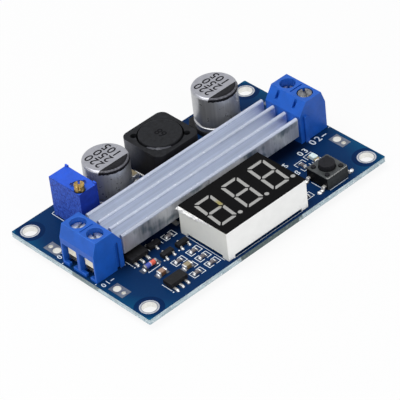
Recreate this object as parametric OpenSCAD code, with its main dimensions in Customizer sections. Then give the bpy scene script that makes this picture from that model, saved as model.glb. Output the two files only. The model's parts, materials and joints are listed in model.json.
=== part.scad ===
// Step-up converter module: a blue circuit board with screw terminals at both ends, a finned
// heatsink along the middle, capacitors, a choke and a trimmer behind it, and a three-digit
// voltmeter, a push button and small surface-mount parts in front of it.
// Millimetres. X runs along the board from input to output, Y from front to back, Z up.
// The origin is the middle of the mounting-hole pattern on the board's underside.

/* [Board] */
// Length of the circuit board
board_l = 67; // [66.5:0.5:76]
// Width of the circuit board
board_w = 42; // [41.5:0.5:50]
// Thickness of the circuit board
board_t = 1.2; // [0.8:0.1:2]
// Radius of the board's corners
board_corner_r = 0.3; // [0.2:0.1:2]
// Thickness of the tinned copper on the board
copper_t = 0.05; // [0.03:0.01:0.1]
// Radius of the four mounting holes
mount_hole_r = 1.6; // [1.2:0.05:1.7]
// Mounting holes, centre to short board edge
mount_inset_x = 2.65; // [2.6:0.05:3]
// Mounting holes, centre to long board edge
mount_inset_y = 2.9; // [2.6:0.05:3.4]
// Outer edge of the tinned ring beyond the mounting hole's wall
mount_ring_w = 0.45; // [0.35:0.05:0.8]
// Bare edge between the mounting hole's wall and the tinned ring
mount_ring_gap = 0.2; // [0.2:0.01:0.25]

/* [Layout] */
// Share of the board's free width that lies in front of the display
front_share = 0.16; // [0.12:0.01:0.2]
// Share of the free width between the display and the heatsink
middle_share = 0.33; // [0.3:0.01:0.4]
// Share of the free width between the heatsink and the choke
back_share = 0.22; // [0.15:0.01:0.25]
// Place of the trimmer along X, as a share of the board's length
trimmer_place = -0.321; // [-0.325:0.001:-0.32]
// Place of the input capacitor along X, as a share of the board's length
input_can_place = -0.187; // [-0.19:0.001:-0.186]
// Place of the choke along X, as a share of the board's length
choke_place = 0.037; // [0.034:0.001:0.06]
// Place of the output capacitor along X, as a share of the board's length
output_can_place = 0.281; // [0.26:0.001:0.29]
// How far behind the input capacitor the output capacitor stands
output_can_shift = 0.45; // [0:0.05:0.6]

/* [Wire pads] */
// Wire pad size along X
wire_pad_w = 2.5; // [2.2:0.1:3]
// Wire pad size along Y
wire_pad_l = 4.2; // [4:0.1:5]
// Wire pads, centre to short board edge
wire_pad_inset = 2.2; // [1.8:0.1:2.6]
// Wire pads, centre to the board's long centre line
wire_pad_y = 9.9; // [9.5:0.1:10.5]
// Radius of the large hole of a wire pad
wire_hole_r = 0.9; // [0.6:0.05:1]
// Radius of the small hole of a wire pad
strand_hole_r = 0.5; // [0.3:0.05:0.6]
// Distance between the two holes of a wire pad
wire_hole_gap = 1.95; // [1.8:0.05:2.2]

/* [Screw terminals] */
// Pitch between the two ways of a terminal
terminal_pitch = 5.08; // [5:0.04:5.4]
// Wall outside the outer way of a terminal
terminal_side_wall = 0.39; // [0.3:0.01:0.8]
// Width of a wire opening
wire_opening_w = 4.3; // [4:0.1:4.6]
// Depth of a terminal from the wire side to the back
terminal_depth = 7.6; // [7.4:0.1:9]
// Height of a terminal
terminal_h = 9.85; // [9.6:0.05:11]
// Height at which the two slopes start
terminal_slope_h = 6.9; // [6.7:0.1:7.4]
// How far the front slope leans in
terminal_front_lean = 1; // [0.6:0.1:1.3]
// How far the back slope leans in
terminal_back_lean = 2; // [1:0.1:2.2]
// Gap from a terminal's wire side to the board's short edge
terminal_edge_gap = 0.5; // [0.2:0.05:0.8]
// Input terminal's centre along Y
input_terminal_y = 0.1; // [-1:0.1:1]
// Output terminal's centre along Y
output_terminal_y = 0.5; // [-1:0.1:1]
// Thickness of the terminal's front wall and of its front sill
terminal_front_wall = 0.85; // [0.6:0.05:0.9]
// Height of the sill below a wire opening
terminal_sill_h = 0.8; // [0.5:0.1:1.2]
// Width of the notch in the sill
sill_notch_w = 1.3; // [0.8:0.1:2]
// Height of the top of a wire opening
wire_opening_top = 5.4; // [5:0.1:5.8]
// Screw axis, distance behind the terminal's wire side
screw_setback = 3.25; // [3:0.05:3.4]
// Radius of the screw hole in the terminal's top
screw_hole_r = 1.75; // [1.7:0.05:1.9]
// Length of the groove between the two screw holes
divider_l = 3.5; // [2:0.1:3.8]
// Width of that groove
divider_w = 0.3; // [0.2:0.05:0.5]
// Width of the probe slots in the back slope
probe_slot_w = 0.75; // [0.3:0.05:1]
// Length of the probe slots
probe_slot_l = 2; // [1:0.05:2.2]
// Height of the joining rib and groove on the terminal's sides
rib_h = 6.6; // [5:0.1:6.7]
// Width of the joining rib at its tip
rib_w = 1.1; // [0.8:0.05:1.4]
// How far the joining rib stands out
rib_out = 0.5; // [0.3:0.05:0.6]
// Joining rib, centre to the terminal's back
rib_setback = 1.5; // [1.2:0.05:1.8]

/* [Terminal metal] */
// Start of the metal cage behind the wire side
cage_setback = 1.35; // [1.3:0.05:1.45]
// Length of the metal cage
cage_l = 4.4; // [4:0.1:4.6]
// Side wall of the metal cage
cage_wall = 0.4; // [0.3:0.05:0.5]
// Bottom of the metal cage above the board
cage_bottom = 0.9; // [0.6:0.1:1]
// Thickness of the cage's floor
cage_floor_t = 0.6; // [0.4:0.1:0.8]
// Top of the metal cage above the board
cage_top = 6.6; // [6.4:0.1:6.8]
// Thickness of the cage's threaded top
cage_top_t = 0.8; // [0.6:0.1:1.2]
// Radius of the solder pin of a terminal
terminal_pin_r = 0.5; // [0.35:0.05:0.6]
// Radius of the terminal screw's shank
screw_r = 1.2; // [1:0.05:1.25]
// Radius of the terminal screw's head
screw_head_r = 1.55; // [1.4:0.05:1.6]
// Height of the terminal screw's head
screw_head_h = 1.2; // [1:0.05:1.3]
// Width of the driver slot
screw_slot_w = 0.5; // [0.3:0.05:0.7]
// Depth of the driver slot
screw_slot_d = 0.6; // [0.4:0.05:0.8]
// Thickness of a wire guard
guard_t = 0.4; // [0.3:0.05:0.5]
// Thickness of the wire guard's bent-up front
guard_lip_t = 0.3; // [0.2:0.05:0.3]
// Height of the wire guard's front
guard_lip_h = 2.2; // [1.6:0.1:2.4]
// Space left under a wire guard when its screw is fully down
wire_space = 0.15; // [0.1:0.05:0.4]
// How deep the input plus screw lies below the terminal's top
input_positive_depth = 1.15; // [0.1:0.05:1.8]
// How deep the input minus screw lies below the terminal's top
input_negative_depth = 1.15; // [0.1:0.05:1.8]
// How deep the output plus screw lies below the terminal's top
output_positive_depth = 1.75; // [0.1:0.05:1.8]
// How deep the output minus screw lies below the terminal's top
output_negative_depth = 0.1; // [0.1:0.05:1.8]

/* [Trimmer] */
// Trimmer size along X
trimmer_w = 4.83; // [4.5:0.01:5.2]
// Trimmer size along Y
trimmer_l = 9.53; // [9:0.01:10]
// Height of the trimmer above the board
trimmer_h = 10; // [9:0.1:11]
// Height of the trimmer's corner feet
trimmer_foot_h = 0.2; // [0.15:0.05:0.6]
// Width of the trimmer's corner feet
trimmer_foot_w = 1; // [0.6:0.1:1.4]
// Width of the trimmer's corner ears
trimmer_ear_w = 0.9; // [0.6:0.1:1.2]
// Radius of the trimmer's brass screw
trimmer_screw_r = 1.12; // [0.9:0.02:1.2]
// How far the brass screw stands out
trimmer_screw_out = 1.5; // [0.8:0.1:2]
// How deep the brass screw sits in the housing
trimmer_screw_in = 3; // [2:0.1:5]
// Width of the brass screw's slot
trimmer_slot_w = 0.45; // [0.3:0.05:0.6]
// Depth of the brass screw's slot
trimmer_slot_d = 0.8; // [0.4:0.1:1.2]
// Brass screw, axis to the trimmer's nearest side and end
trimmer_screw_inset = 1.27; // [1.25:0.01:1.6]
// Pitch of the trimmer's pins
trimmer_pitch = 2.54; // [2.4:0.02:2.7]
// Radius of the trimmer's pins
trimmer_pin_r = 0.25; // [0.2:0.01:0.35]

/* [Capacitors] */
// Radius of a capacitor's can
can_r = 5; // [4:0.1:5]
// Radius of a can's rounded top edge
can_edge_r = 0.6; // [0.3:0.1:1]
// Radius of the pressed groove round a can
can_bead_r = 0.5; // [0.3:0.05:0.7]
// Depth of that groove
can_bead_d = 0.3; // [0.1:0.05:0.4]
// Height of that groove above the can's foot
can_bead_z = 1.6; // [1.2:0.1:2.4]
// Height of a capacitor above the board
can_h = 10.5; // [8:0.1:12]
// Side of a capacitor's square base
can_base_w = 10.3; // [10.2:0.1:10.6]
// Height of that base
can_base_h = 1.2; // [0.9:0.1:1.6]
// Chamfer on the base's two positive corners
can_base_chamfer = 1.6; // [0.8:0.1:2.2]
// Width of a capacitor's flat lead
can_lead_w = 1.2; // [0.8:0.1:1.6]
// Thickness of a capacitor's flat lead
can_lead_t = 0.25; // [0.15:0.05:0.35]
// How far a capacitor's lead shows beyond the base
can_lead_out = 0.8; // [0.4:0.1:1.2]
// Where a flat lead starts, from the capacitor's axis
can_lead_start = 1.2; // [0.6:0.1:2]

/* [Choke] */
// Side of the square choke
choke_w = 12; // [11.8:0.1:12.5]
// Corner radius of the choke
choke_corner_r = 1.8; // [1:0.1:2.2]
// Height of the choke's shield above the board
choke_shield_h = 7.4; // [6.5:0.1:7.6]
// Height of the choke's core above the board
choke_h = 7.8; // [7.7:0.1:9]
// Radius of the core's flanges
choke_core_r = 4.7; // [4.5:0.05:4.8]
// Gap between the core and the shield
choke_gap = 0.35; // [0.1:0.05:0.4]
// Thickness of the core's flanges
choke_flange_t = 1.6; // [1:0.1:2]
// Radius of the core's waist
choke_waist_r = 2.6; // [2:0.1:3]
// Outer radius of the winding
choke_coil_r = 4.3; // [4:0.1:4.4]
// Radius of the pits in two of the shield's corners, where the wire's ends leave
choke_pit_r = 0.75; // [0.4:0.05:0.8]
// Depth of those pits
choke_pit_d = 1.6; // [0.6:0.1:3]
// Thickness of the choke's solder terminals
choke_terminal_t = 0.3; // [0.2:0.05:0.5]
// Width of the choke's solder terminals
choke_terminal_w = 5; // [3:0.1:6]

/* [Heatsink] */
// Width of the heatsink
heatsink_w = 11.1; // [10.5:0.1:11.6]
// Height of the heatsink
heatsink_h = 4.7; // [3.5:0.1:6]
// Thickness of the heatsink's base
heatsink_base_t = 1.5; // [1:0.1:2]
// Number of fins
fin_count = 4; // [3:1:5]
// Thickness of a fin
fin_t = 0.9; // [0.6:0.05:1]
// Gap between the heatsink's ends and the terminals
heatsink_end_gap = 0.6; // [0.3:0.05:1]
// Thickness of a thermal pad
thermal_t = 0.15; // [0.1:0.05:0.4]

/* [Power packages] */
// Width of a power package
power_w = 6.5; // [6:0.1:6.7]
// Length of a power package's body
power_l = 6.1; // [5.5:0.1:6.2]
// Height of a power package
power_h = 2.2; // [2.1:0.05:2.5]
// Thickness of a power package's metal tab
power_tab_t = 0.5; // [0.4:0.05:0.6]
// Width of a power package's metal tab
power_tab_w = 5.4; // [4.5:0.1:5.6]
// How far the metal tab shows beyond the body
power_tab_out = 1; // [0.6:0.1:1.2]
// Reach of a power package's leads from the body
power_lead_out = 2.4; // [2:0.1:2.6]
// Width of a power package's lead
power_lead_w = 0.8; // [0.6:0.05:1]
// Spacing of a power package's two leads
power_lead_pitch = 4.58; // [4.2:0.02:4.8]
// Transistor package's centre along X
mosfet_x = -7.5; // [-9:0.1:-6]
// Rectifier package's centre along X
rectifier_x = 14; // [12:0.1:16]

/* [Display] */
// Length of the display
display_l = 22.5; // [22.3:0.1:23.5]
// Width of the display
display_w = 14; // [13.8:0.1:14.3]
// Height of the display
display_h = 7.2; // [6.5:0.1:8.5]
// Display's centre along X
display_x = 0.2; // [-0.5:0.1:1]
// Thickness of the display's black face
display_face_t = 0.15; // [0.1:0.05:0.3]
// Side wall round the display's underside recess
display_wall = 1; // [0.8:0.1:1.2]
// Length of the display's corner feet
display_foot_l = 1.8; // [1.5:0.1:4]
// Height of the display's corner feet
display_foot_h = 0.7; // [0.3:0.1:1]
// Underside of the display's carrier board above the main board
carrier_z = 1.4; // [1.3:0.05:1.8]
// Thickness of the display's carrier board
carrier_t = 1; // [0.6:0.1:1.6]
// Height of a digit
digit_h = 9.2; // [8:0.1:9.4]
// Width of a digit
digit_w = 4.75; // [4:0.05:4.9]
// Spacing of the digits
digit_pitch = 7.46; // [7.4:0.02:7.5]
// Width of a digit's bars
bar_w = 0.76; // [0.5:0.02:1]
// Gap between a digit's bars
bar_gap = 0.38; // [0.1:0.02:0.4]
// Length cut from the sharp tips of a digit's outer bars
bar_tip = 0.3; // [0.1:0.05:0.4]
// Sideways lean of the digits for each unit of height
digit_lean = 0.1; // [0:0.01:0.12]
// Radius of a decimal point
point_r = 0.5; // [0.4:0.05:0.6]
// Pins in each row under the display
display_pin_count = 6; // [4:1:7]
// Pitch of the display's pins
display_pitch = 2.54; // [2.4:0.02:2.6]
// Distance between the display's two pin rows
display_row_gap = 10.16; // [9.8:0.02:10.4]
// Radius of a display pin
display_pin_r = 0.25; // [0.2:0.01:0.3]

/* [Button] */
// Side of the square push button
button_w = 6; // [5.8:0.1:6.4]
// Height of the push button's base above the board
button_base_h = 2.75; // [2.6:0.05:3.4]
// Thickness of the push button's cover
button_cover_t = 0.25; // [0.15:0.05:0.4]
// Height of the push button's plunger above the board
button_h = 4.2; // [4:0.1:9]
// Radius of the plunger
plunger_r = 1.75; // [1.4:0.05:1.8]
// Travel of the plunger
button_travel = 0.25; // [0.1:0.05:0.4]
// Radius of the corner posts
button_post_r = 0.5; // [0.3:0.05:0.5]
// Corner posts, centre to the button's sides
button_post_inset = 1; // [0.65:0.05:1]
// Corner radius of the push button's cover
button_cover_r = 0.4; // [0.2:0.05:0.6]
// Radius of the well that holds the snap dome
dome_well_r = 2.3; // [2.2:0.05:2.5]
// Floor of that well above the board
dome_floor = 1; // [0.8:0.1:1.1]
// Height of the snap dome
dome_h = 0.45; // [0.35:0.05:0.6]
// Thickness of the snap dome
dome_t = 0.1; // [0.06:0.01:0.12]
// Reach of the button's leads from its side
button_lead_out = 1.7; // [1.2:0.1:2]
// Height at which the button's leads leave its side
button_lead_h = 1; // [0.8:0.05:1.4]
// Thickness of the button's leads
button_lead_t = 0.3; // [0.2:0.05:0.4]
// Width of the button's leads
button_lead_w = 0.7; // [0.5:0.05:0.9]
// Spacing of the leads along each side
button_lead_gap = 4.5; // [3.6:0.1:4.6]
// Button's centre to the board's output end
button_inset_x = 12.7; // [12.2:0.1:13]
// Button's centre to the board's front edge
button_inset_y = 4.3; // [4:0.1:4.6]

/* [Chip parts] */
// Length of a chip resistor
resistor_l = 1.6; // [1.4:0.05:1.7]
// Width of a chip resistor
resistor_w = 0.8; // [0.6:0.05:1]
// Height of a chip resistor
resistor_h = 0.45; // [0.3:0.05:0.6]
// Length of a metal end of a chip resistor
resistor_end = 0.3; // [0.2:0.05:0.4]
// Length of a small ceramic capacitor
ceramic_l = 2; // [1.8:0.05:2.1]
// Width of a small ceramic capacitor
ceramic_w = 1.25; // [1:0.05:1.4]
// Height of a small ceramic capacitor
ceramic_h = 1; // [0.6:0.05:1.3]
// Length of the large ceramic capacitor by the choke
large_ceramic_l = 3.2; // [2.8:0.1:3.6]
// Width of the large ceramic capacitor
large_ceramic_w = 1.6; // [1.2:0.1:1.7]
// Height of the large ceramic capacitor
large_ceramic_h = 1.5; // [1:0.1:1.8]
// Length of a metal end of a ceramic capacitor
ceramic_end = 0.4; // [0.25:0.05:0.5]
// Length of the glass diode
glass_diode_l = 3.3; // [3.2:0.1:3.7]
// Radius of the glass diode's metal caps
glass_diode_r = 0.6; // [0.5:0.05:0.7]
// Length of a metal cap of the glass diode
glass_cap_l = 0.45; // [0.3:0.05:0.6]
// Length of a three-lead transistor's body
transistor_l = 2.9; // [2.7:0.1:3]
// Width of a three-lead transistor's body
transistor_w = 1.3; // [1.2:0.1:1.4]
// Height of a three-lead transistor
transistor_h = 1; // [0.8:0.05:1.2]
// Spacing of a transistor's two front leads
transistor_pitch = 1.9; // [1.8:0.05:2]
// Length of a regulator's body
regulator_l = 4.5; // [4.3:0.1:4.7]
// Width of a regulator's body
regulator_w = 2.5; // [2.3:0.1:2.6]
// Height of a regulator
regulator_h = 1.5; // [1.3:0.05:1.8]
// Spacing of a regulator's three leads
regulator_pitch = 1.5; // [1.4:0.02:1.6]
// First row of chip resistors to the board's front edge
row_first = 3.2; // [2.9:0.05:3.3]
// Spacing of the rows of chip resistors
row_gap = 2.7; // [2.6:0.05:2.75]
// Transistor row behind the last row of chip resistors
transistor_row_gap = 3.3; // [3.2:0.05:3.5]
// Back row of chip parts behind the transistor row
back_row_gap = 4; // [3.8:0.05:4.1]
// Size of the indicator lamp along Y
lamp_l = 2; // [1.8:0.05:2.1]
// Size of the indicator lamp along X
lamp_w = 1.25; // [1:0.05:1.4]
// Height of the indicator lamp
lamp_h = 0.8; // [0.5:0.05:1.1]
// Indicator lamp's centre to the board's output end
lamp_inset_x = 10; // [9.6:0.1:10.4]
// Indicator lamp's centre to the board's front edge
lamp_inset_y = 11.1; // [10.6:0.1:11.6]
// Spacing between the lamp and its resistor
lamp_gap = 3.2; // [2.8:0.1:3.6]

/* [Hidden] */
$fn = 48;

// Small amounts: overshoot of a cut, running fit of a turned part, clearance of a loose one
cut = 0.5;
running = 0.05;
loose = 0.1;

// Levels: top of the board, and top of the copper that small parts sit on
board_top = board_t;
seat = board_t + copper_t;

// Display, heatsink and choke stand one behind the other and share out the free width
free_w = board_w - display_w - heatsink_w - choke_w;
display_front = -board_w / 2 + front_share * free_w;
display_y = display_front + display_w / 2;
heatsink_y = display_front + display_w + middle_share * free_w + heatsink_w / 2;
choke_y = heatsink_y + heatsink_w / 2 + back_share * free_w + choke_w / 2;

// Places of the mounting holes
mount_x = board_l / 2 - mount_inset_x;
mount_y = board_w / 2 - mount_inset_y;
mount_points = [for (sx = [-1, 1]) for (sy = [-1, 1]) [sx * mount_x, sy * mount_y]];

// Screw terminals: each is drawn with its wire side at x = 0 and its back towards +X
terminal_w = terminal_pitch + wire_opening_w + 2 * terminal_side_wall;
terminal_x = board_l / 2 - terminal_edge_gap;
ways = [-terminal_pitch / 2, terminal_pitch / 2];
cage_w = wire_opening_w - 2 * loose;
guard_w = cage_w - 2 * cage_wall - 2 * loose;
guard_start = terminal_front_wall + loose;
screw_deepest = terminal_h - screw_head_h - cage_top - running;
guard_low = cage_bottom + cage_floor_t + wire_space;
shank_l = terminal_h - screw_head_h - screw_deepest - guard_low - guard_t - running;

// Turn of each driver slot, as the screws were left
input_positive_slot = 15;
input_negative_slot = 75;
output_positive_slot = 40;
output_negative_slot = 55;
trimmer_slot_turn = 51;

// Back row of parts
trimmer_x = trimmer_place * board_l;
trimmer_y = choke_y;
trimmer_screw_x = trimmer_x - trimmer_w / 2 + trimmer_screw_inset;
trimmer_screw_y = trimmer_y - trimmer_l / 2 + trimmer_screw_inset;
input_can = [input_can_place * board_l, choke_y];
output_can = [output_can_place * board_l, choke_y + output_can_shift];
can_base_z = seat + copper_t;
can_land_in = 2;
choke_x = choke_place * board_l;
choke_base_z = seat + choke_terminal_t;
choke_terminal_l = 3.1;

// Heatsink between the two terminals, on the power packages
heatsink_l = 2 * (terminal_x - terminal_depth - heatsink_end_gap);
heatsink_z = seat + power_h + thermal_t;
fin_pitch = (heatsink_w - fin_t) / (fin_count - 1);
power_y = heatsink_y + (power_lead_out - power_tab_out) / 2;
power_tab_in = 2.1;

// Display
display_top = board_top + display_h;
digit_places = [for (i = [-1, 0, 1]) display_x + i * digit_pitch];
pin_row = [for (i = [0 : display_pin_count - 1]) (i - (display_pin_count - 1) / 2) * display_pitch];
display_pin_points = [for (sy = [-1, 1]) for (px = pin_row)
    [display_x + px, display_y + sy * display_row_gap / 2]];

// Button
button_x = board_l / 2 - button_inset_x;
button_y = -board_w / 2 + button_inset_y;
button_posts = [for (sx = [-1, 1]) for (sy = [-1, 1])
    [sx, sy] * (button_w / 2 - button_post_inset)];
plunger_flange_r = dome_well_r - 2 * loose;
plunger_flange_t = 0.6;
plunger_foot_r = 0.8;
dome_r = dome_well_r - 2 * loose;
dome_curve = (dome_r * dome_r + dome_h * dome_h) / (2 * dome_h);

// Chip parts: three columns spread between the input terminal and the display, of which the first
// two stand closer to the terminal, and rows counted from the front edge
column_shift = 0.2;
chip_start = -terminal_x + terminal_depth;
chip_gap = (display_x - display_l / 2 - chip_start - regulator_l - 2 * transistor_l) / 4;
first_column = chip_start + chip_gap + regulator_l / 2 - column_shift;
second_column = first_column + regulator_l / 2 + chip_gap + transistor_l / 2;
column_x = [first_column, second_column, second_column + column_shift + transistor_l + chip_gap];
row_y = [for (i = [0 : 2]) -board_w / 2 + row_first + i * row_gap];
transistor_y = row_y[2] + transistor_row_gap;
back_row_y = transistor_y + back_row_gap;
lamp_x = board_l / 2 - lamp_inset_x;
lamp_y = -board_w / 2 + lamp_inset_y;
// Offsets of single chip parts from their row, column or neighbour
regulator_offset = 1.1;
ceramic_offset = 0.25;
meter_resistor_offset = 1.75;
diode_offset = 0.05;
large_ceramic_offset = 1.3;
// Each entry is [x, y, turn about Z]
resistors = [
    [column_x[2], row_y[0], 0], [column_x[2], row_y[1], 0], [column_x[2], row_y[2], 0],
    [column_x[1], row_y[0], 0], [column_x[1], row_y[2], 0],
    [column_x[2], back_row_y, 0], [lamp_x - lamp_gap, lamp_y, 90],
    [display_x + display_l / 2 + meter_resistor_offset, row_y[0], 0]
];
small_ceramics = [[column_x[1], row_y[1], 0], [column_x[0], row_y[2] - ceramic_offset, 0]];
large_ceramic = [(input_can.x + can_base_w / 2 + choke_x - choke_w / 2) / 2,
    choke_y + large_ceramic_offset, 90];
transistors = [
    [column_x[1], transistor_y, 0], [column_x[2], transistor_y, 0],
    [column_x[1], back_row_y, 180]
];
regulators = [[column_x[0], row_y[0] + regulator_offset, 0], [column_x[0], back_row_y, 0]];
glass_diode_y = transistor_y - diode_offset;
transistor_lead_w = 0.4;
transistor_lead_out = 0.55;
regulator_lead_w = 0.45;
regulator_lead_t = 0.4;
regulator_lead_out = 0.9;
regulator_lead_in = 0.6;
regulator_tab_w = 1.7;
regulator_tab_in = 0.5;
lamp_end = 0.35;
lead_t = 0.15;
// How far a copper land shows round a lead, and the share of a bent lead that lies flat on it
land_margin = 0.3;
foot_share = 0.5;

// Boost controller under the heatsink, and the voltmeter's chip under the display:
// [x, y, body along X, body along Y, height, leads on a side, lead pitch]
controller_x = -16.5;
controllers = [
    [controller_x, heatsink_y, 3, 3, 0.9, 5, 0.5],
    [display_x, display_y, 6.5, 4.4, 1.05, 10, 0.65]
];
controller_lead_w = 0.22;
controller_lead_out = 0.95;

// Through-hole pins: [x, y, radius], with the same fit in the board and the same solder
lead_fit = 0.15;
pin_below = 1.3;
joint_h = 0.95;
joint_out = 0.55;
terminal_pins = [for (side = [-1, 1]) for (w = ways)
    [side * (terminal_x - screw_setback),
        (side < 0 ? input_terminal_y : output_terminal_y) + w, terminal_pin_r]];
trimmer_pin_points = [for (i = [-1, 0, 1])
    [trimmer_x, trimmer_y + i * trimmer_pitch, trimmer_pin_r]];
all_pins = concat(terminal_pins, trimmer_pin_points,
    [for (p = display_pin_points) [p.x, p.y, display_pin_r]]);

// Shared shapes

module rounded_rectangle(l, w, r) {
    square([l - 2 * r, w], center = true);
    square([l, w - 2 * r], center = true);
    for (sx = [-1, 1], sy = [-1, 1])
        translate([sx * (l / 2 - r), sy * (w / 2 - r)]) circle(r);
}

// Box standing on z = 0, centred in X and Y
module block(l, w, h) {
    translate([-l / 2, -w / 2, 0]) cube([l, w, h]);
}

// Outline given in X and Z, drawn out along Y about y = 0
module along_y(w) {
    rotate([90, 0, 0]) linear_extrude(height = w, center = true) children();
}

// Outline given in Y and Z, drawn out along X about x = 0
module along_x(l) {
    rotate([90, 0, 90]) linear_extrude(height = l, center = true) children();
}

module placed(p) {
    translate([p.x, p.y, seat]) rotate(p[2]) children();
}

// Gull-wing lead that leaves a body at y = 0 with its top at height h, and reaches out along -Y
module gull_wing(reach, h, w, t) {
    shoulder = (reach - t) * 0.3;
    slope = (reach - t) * 0.15;
    along_x(w)
        polygon([[0, h], [-shoulder - t, h], [-shoulder - t - slope, t], [-reach, t], [-reach, 0],
            [-shoulder - slope, 0], [-shoulder, h - t], [0, h - t]]);
}

// Moulded body: sides drawn in above and below the level where the leads come out
module moulded(l, w, h) {
    draft = 0.06 * h;
    along_x(l)
        polygon([[-w / 2 + draft, 0], [-w / 2, h / 2], [-w / 2 + draft, h],
            [w / 2 - draft, h], [w / 2, h / 2], [w / 2 - draft, 0]]);
}

// Board, its exposed copper and its solder

module wire_pad_places() {
    for (sx = [-1, 1], sy = [-1, 1])
        translate([sx * (board_l / 2 - wire_pad_inset), sy * wire_pad_y])
            mirror([0, sy < 0 ? 1 : 0]) children();
}

module wire_pad_holes() {
    wire_pad_places() {
        translate([0, -wire_hole_gap * 0.4]) circle(wire_hole_r);
        translate([0, wire_hole_gap * 0.6]) circle(strand_hole_r);
    }
}

module pcb() {
    color("midnightblue")
        linear_extrude(board_t)
            difference() {
                rounded_rectangle(board_l, board_w, board_corner_r);
                for (p = mount_points) translate(p) circle(mount_hole_r);
                wire_pad_holes();
                for (p = all_pins) translate([p.x, p.y]) circle(p[2] + lead_fit);
            }
}

module on_both_faces() {
    for (z = [-copper_t, board_top]) translate([0, 0, z]) linear_extrude(copper_t) children();
}

module mounting_rings() {
    color("silver")
        on_both_faces()
            for (p = mount_points)
                translate(p)
                    difference() {
                        circle(mount_hole_r + mount_ring_w);
                        circle(mount_hole_r + mount_ring_gap);
                    }
}

module wire_pads() {
    color("silver")
        on_both_faces()
            difference() {
                wire_pad_places() square([wire_pad_w, wire_pad_l], center = true);
                wire_pad_holes();
            }
}

// Copper land on the board's top, centred on x and y
module land(x, y, l, w) {
    translate([x, y, board_top]) block(l, w, copper_t);
}

module solder_lands() {
    color("silver") {
        for (p = all_pins)
            translate([p.x, p.y, -copper_t])
                linear_extrude(copper_t)
                    difference() {
                        circle(p[2] + joint_out);
                        circle(p[2] + lead_fit);
                    }
        for (p = resistors)
            placed(p) chip_lands(resistor_l, resistor_w);
        for (p = small_ceramics)
            placed(p) chip_lands(ceramic_l, ceramic_w);
        placed(large_ceramic) chip_lands(large_ceramic_l, large_ceramic_w);
        placed([lamp_x, lamp_y, 90]) chip_lands(lamp_l, lamp_w);
        placed([column_x[0], glass_diode_y, 0]) chip_lands(glass_diode_l, glass_diode_r * 2);
        for (p = transistors)
            translate([p.x, p.y]) rotate(p[2]) {
                for (sx = [-1, 1])
                    foot_land(sx * transistor_pitch / 2, 0, -transistor_w / 2,
                        -transistor_lead_out, transistor_lead_w);
                foot_land(0, 0, transistor_w / 2, transistor_lead_out, transistor_lead_w);
            }
        for (p = regulators) {
            for (i = [-1, 0, 1])
                foot_land(p.x + i * regulator_pitch, p.y, -regulator_w / 2,
                    -regulator_lead_out, regulator_lead_w);
            foot_land(p.x, p.y, regulator_w / 2, regulator_lead_out, regulator_tab_w);
        }
        for (x = [mosfet_x, rectifier_x]) {
            land(x, power_y + power_l / 2 + (power_tab_out - power_tab_in) / 2,
                power_tab_w + land_margin, power_tab_out + power_tab_in + land_margin);
            for (sx = [-1, 1])
                foot_land(x + sx * power_lead_pitch / 2, power_y, -power_l / 2,
                    -power_lead_out, power_lead_w);
        }
        for (p = [input_can, output_can], sy = [-1, 1])
            land(p.x, p.y + sy * (can_base_w + can_lead_out - can_land_in) / 2,
                can_lead_w + 2 * land_margin, can_lead_out + can_land_in + 2 * land_margin);
        for (sx = [-1, 1])
            land(choke_x + sx * (choke_w - choke_terminal_l) / 2, choke_y,
                choke_terminal_l + 2 * land_margin, choke_terminal_w + land_margin);
        for (sx = [-1, 1], sy = [-1, 1])
            land(button_x + sx * (button_w / 2 + button_lead_out * (1 - foot_share / 2)),
                button_y + sy * button_lead_gap / 2,
                button_lead_out * foot_share + land_margin, button_lead_w + land_margin);
        for (c = controllers, sy = [-1, 1], i = [0 : c[5] - 1])
            land(c.x + (i - (c[5] - 1) / 2) * c[6],
                c.y + sy * (c[3] / 2 + controller_lead_out * (1 - foot_share / 2)),
                controller_lead_w + loose, controller_lead_out * foot_share + loose);
    }
}

// Land under the flat end of a lead that leaves a body "side" from the part's centre and
// reaches "out" beyond it
module foot_land(x, y, side, out, w) {
    land(x, y + side + out * (1 - foot_share / 2), w + land_margin,
        abs(out) * foot_share + land_margin);
}

// Two lands under the ends of a chip part, drawn at the seat level
module chip_lands(l, w) {
    for (sx = [-1, 1])
        translate([sx * l / 2, 0, -copper_t]) block(l * foot_share, w + land_margin, copper_t);
}

module solder_joints() {
    color("gainsboro")
        for (p = all_pins)
            translate([p.x, p.y, -copper_t])
                rotate_extrude()
                    polygon([[p[2], 0], [p[2] + joint_out, 0],
                        [p[2] + joint_out * 0.3, -joint_h * 0.5], [p[2], -joint_h]]);
}

// Screw terminals

module input_place() {
    translate([-terminal_x, input_terminal_y, board_top]) children();
}

module output_place() {
    translate([terminal_x, output_terminal_y, board_top]) rotate(180) children();
}

// Dovetail outline of the joining rib, standing out along +Y
module rib_outline(extra) {
    root = rib_w * 0.65 + extra;
    tip = rib_w + extra;
    reach = rib_out + extra;
    polygon([[-root / 2, 0], [root / 2, 0], [tip / 2, reach], [-tip / 2, reach]]);
}

module terminal_profile() {
    polygon([[0, 0], [0, terminal_slope_h], [terminal_front_lean, terminal_h],
        [terminal_depth - terminal_back_lean, terminal_h],
        [terminal_depth, terminal_slope_h], [terminal_depth, 0]]);
}

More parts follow.
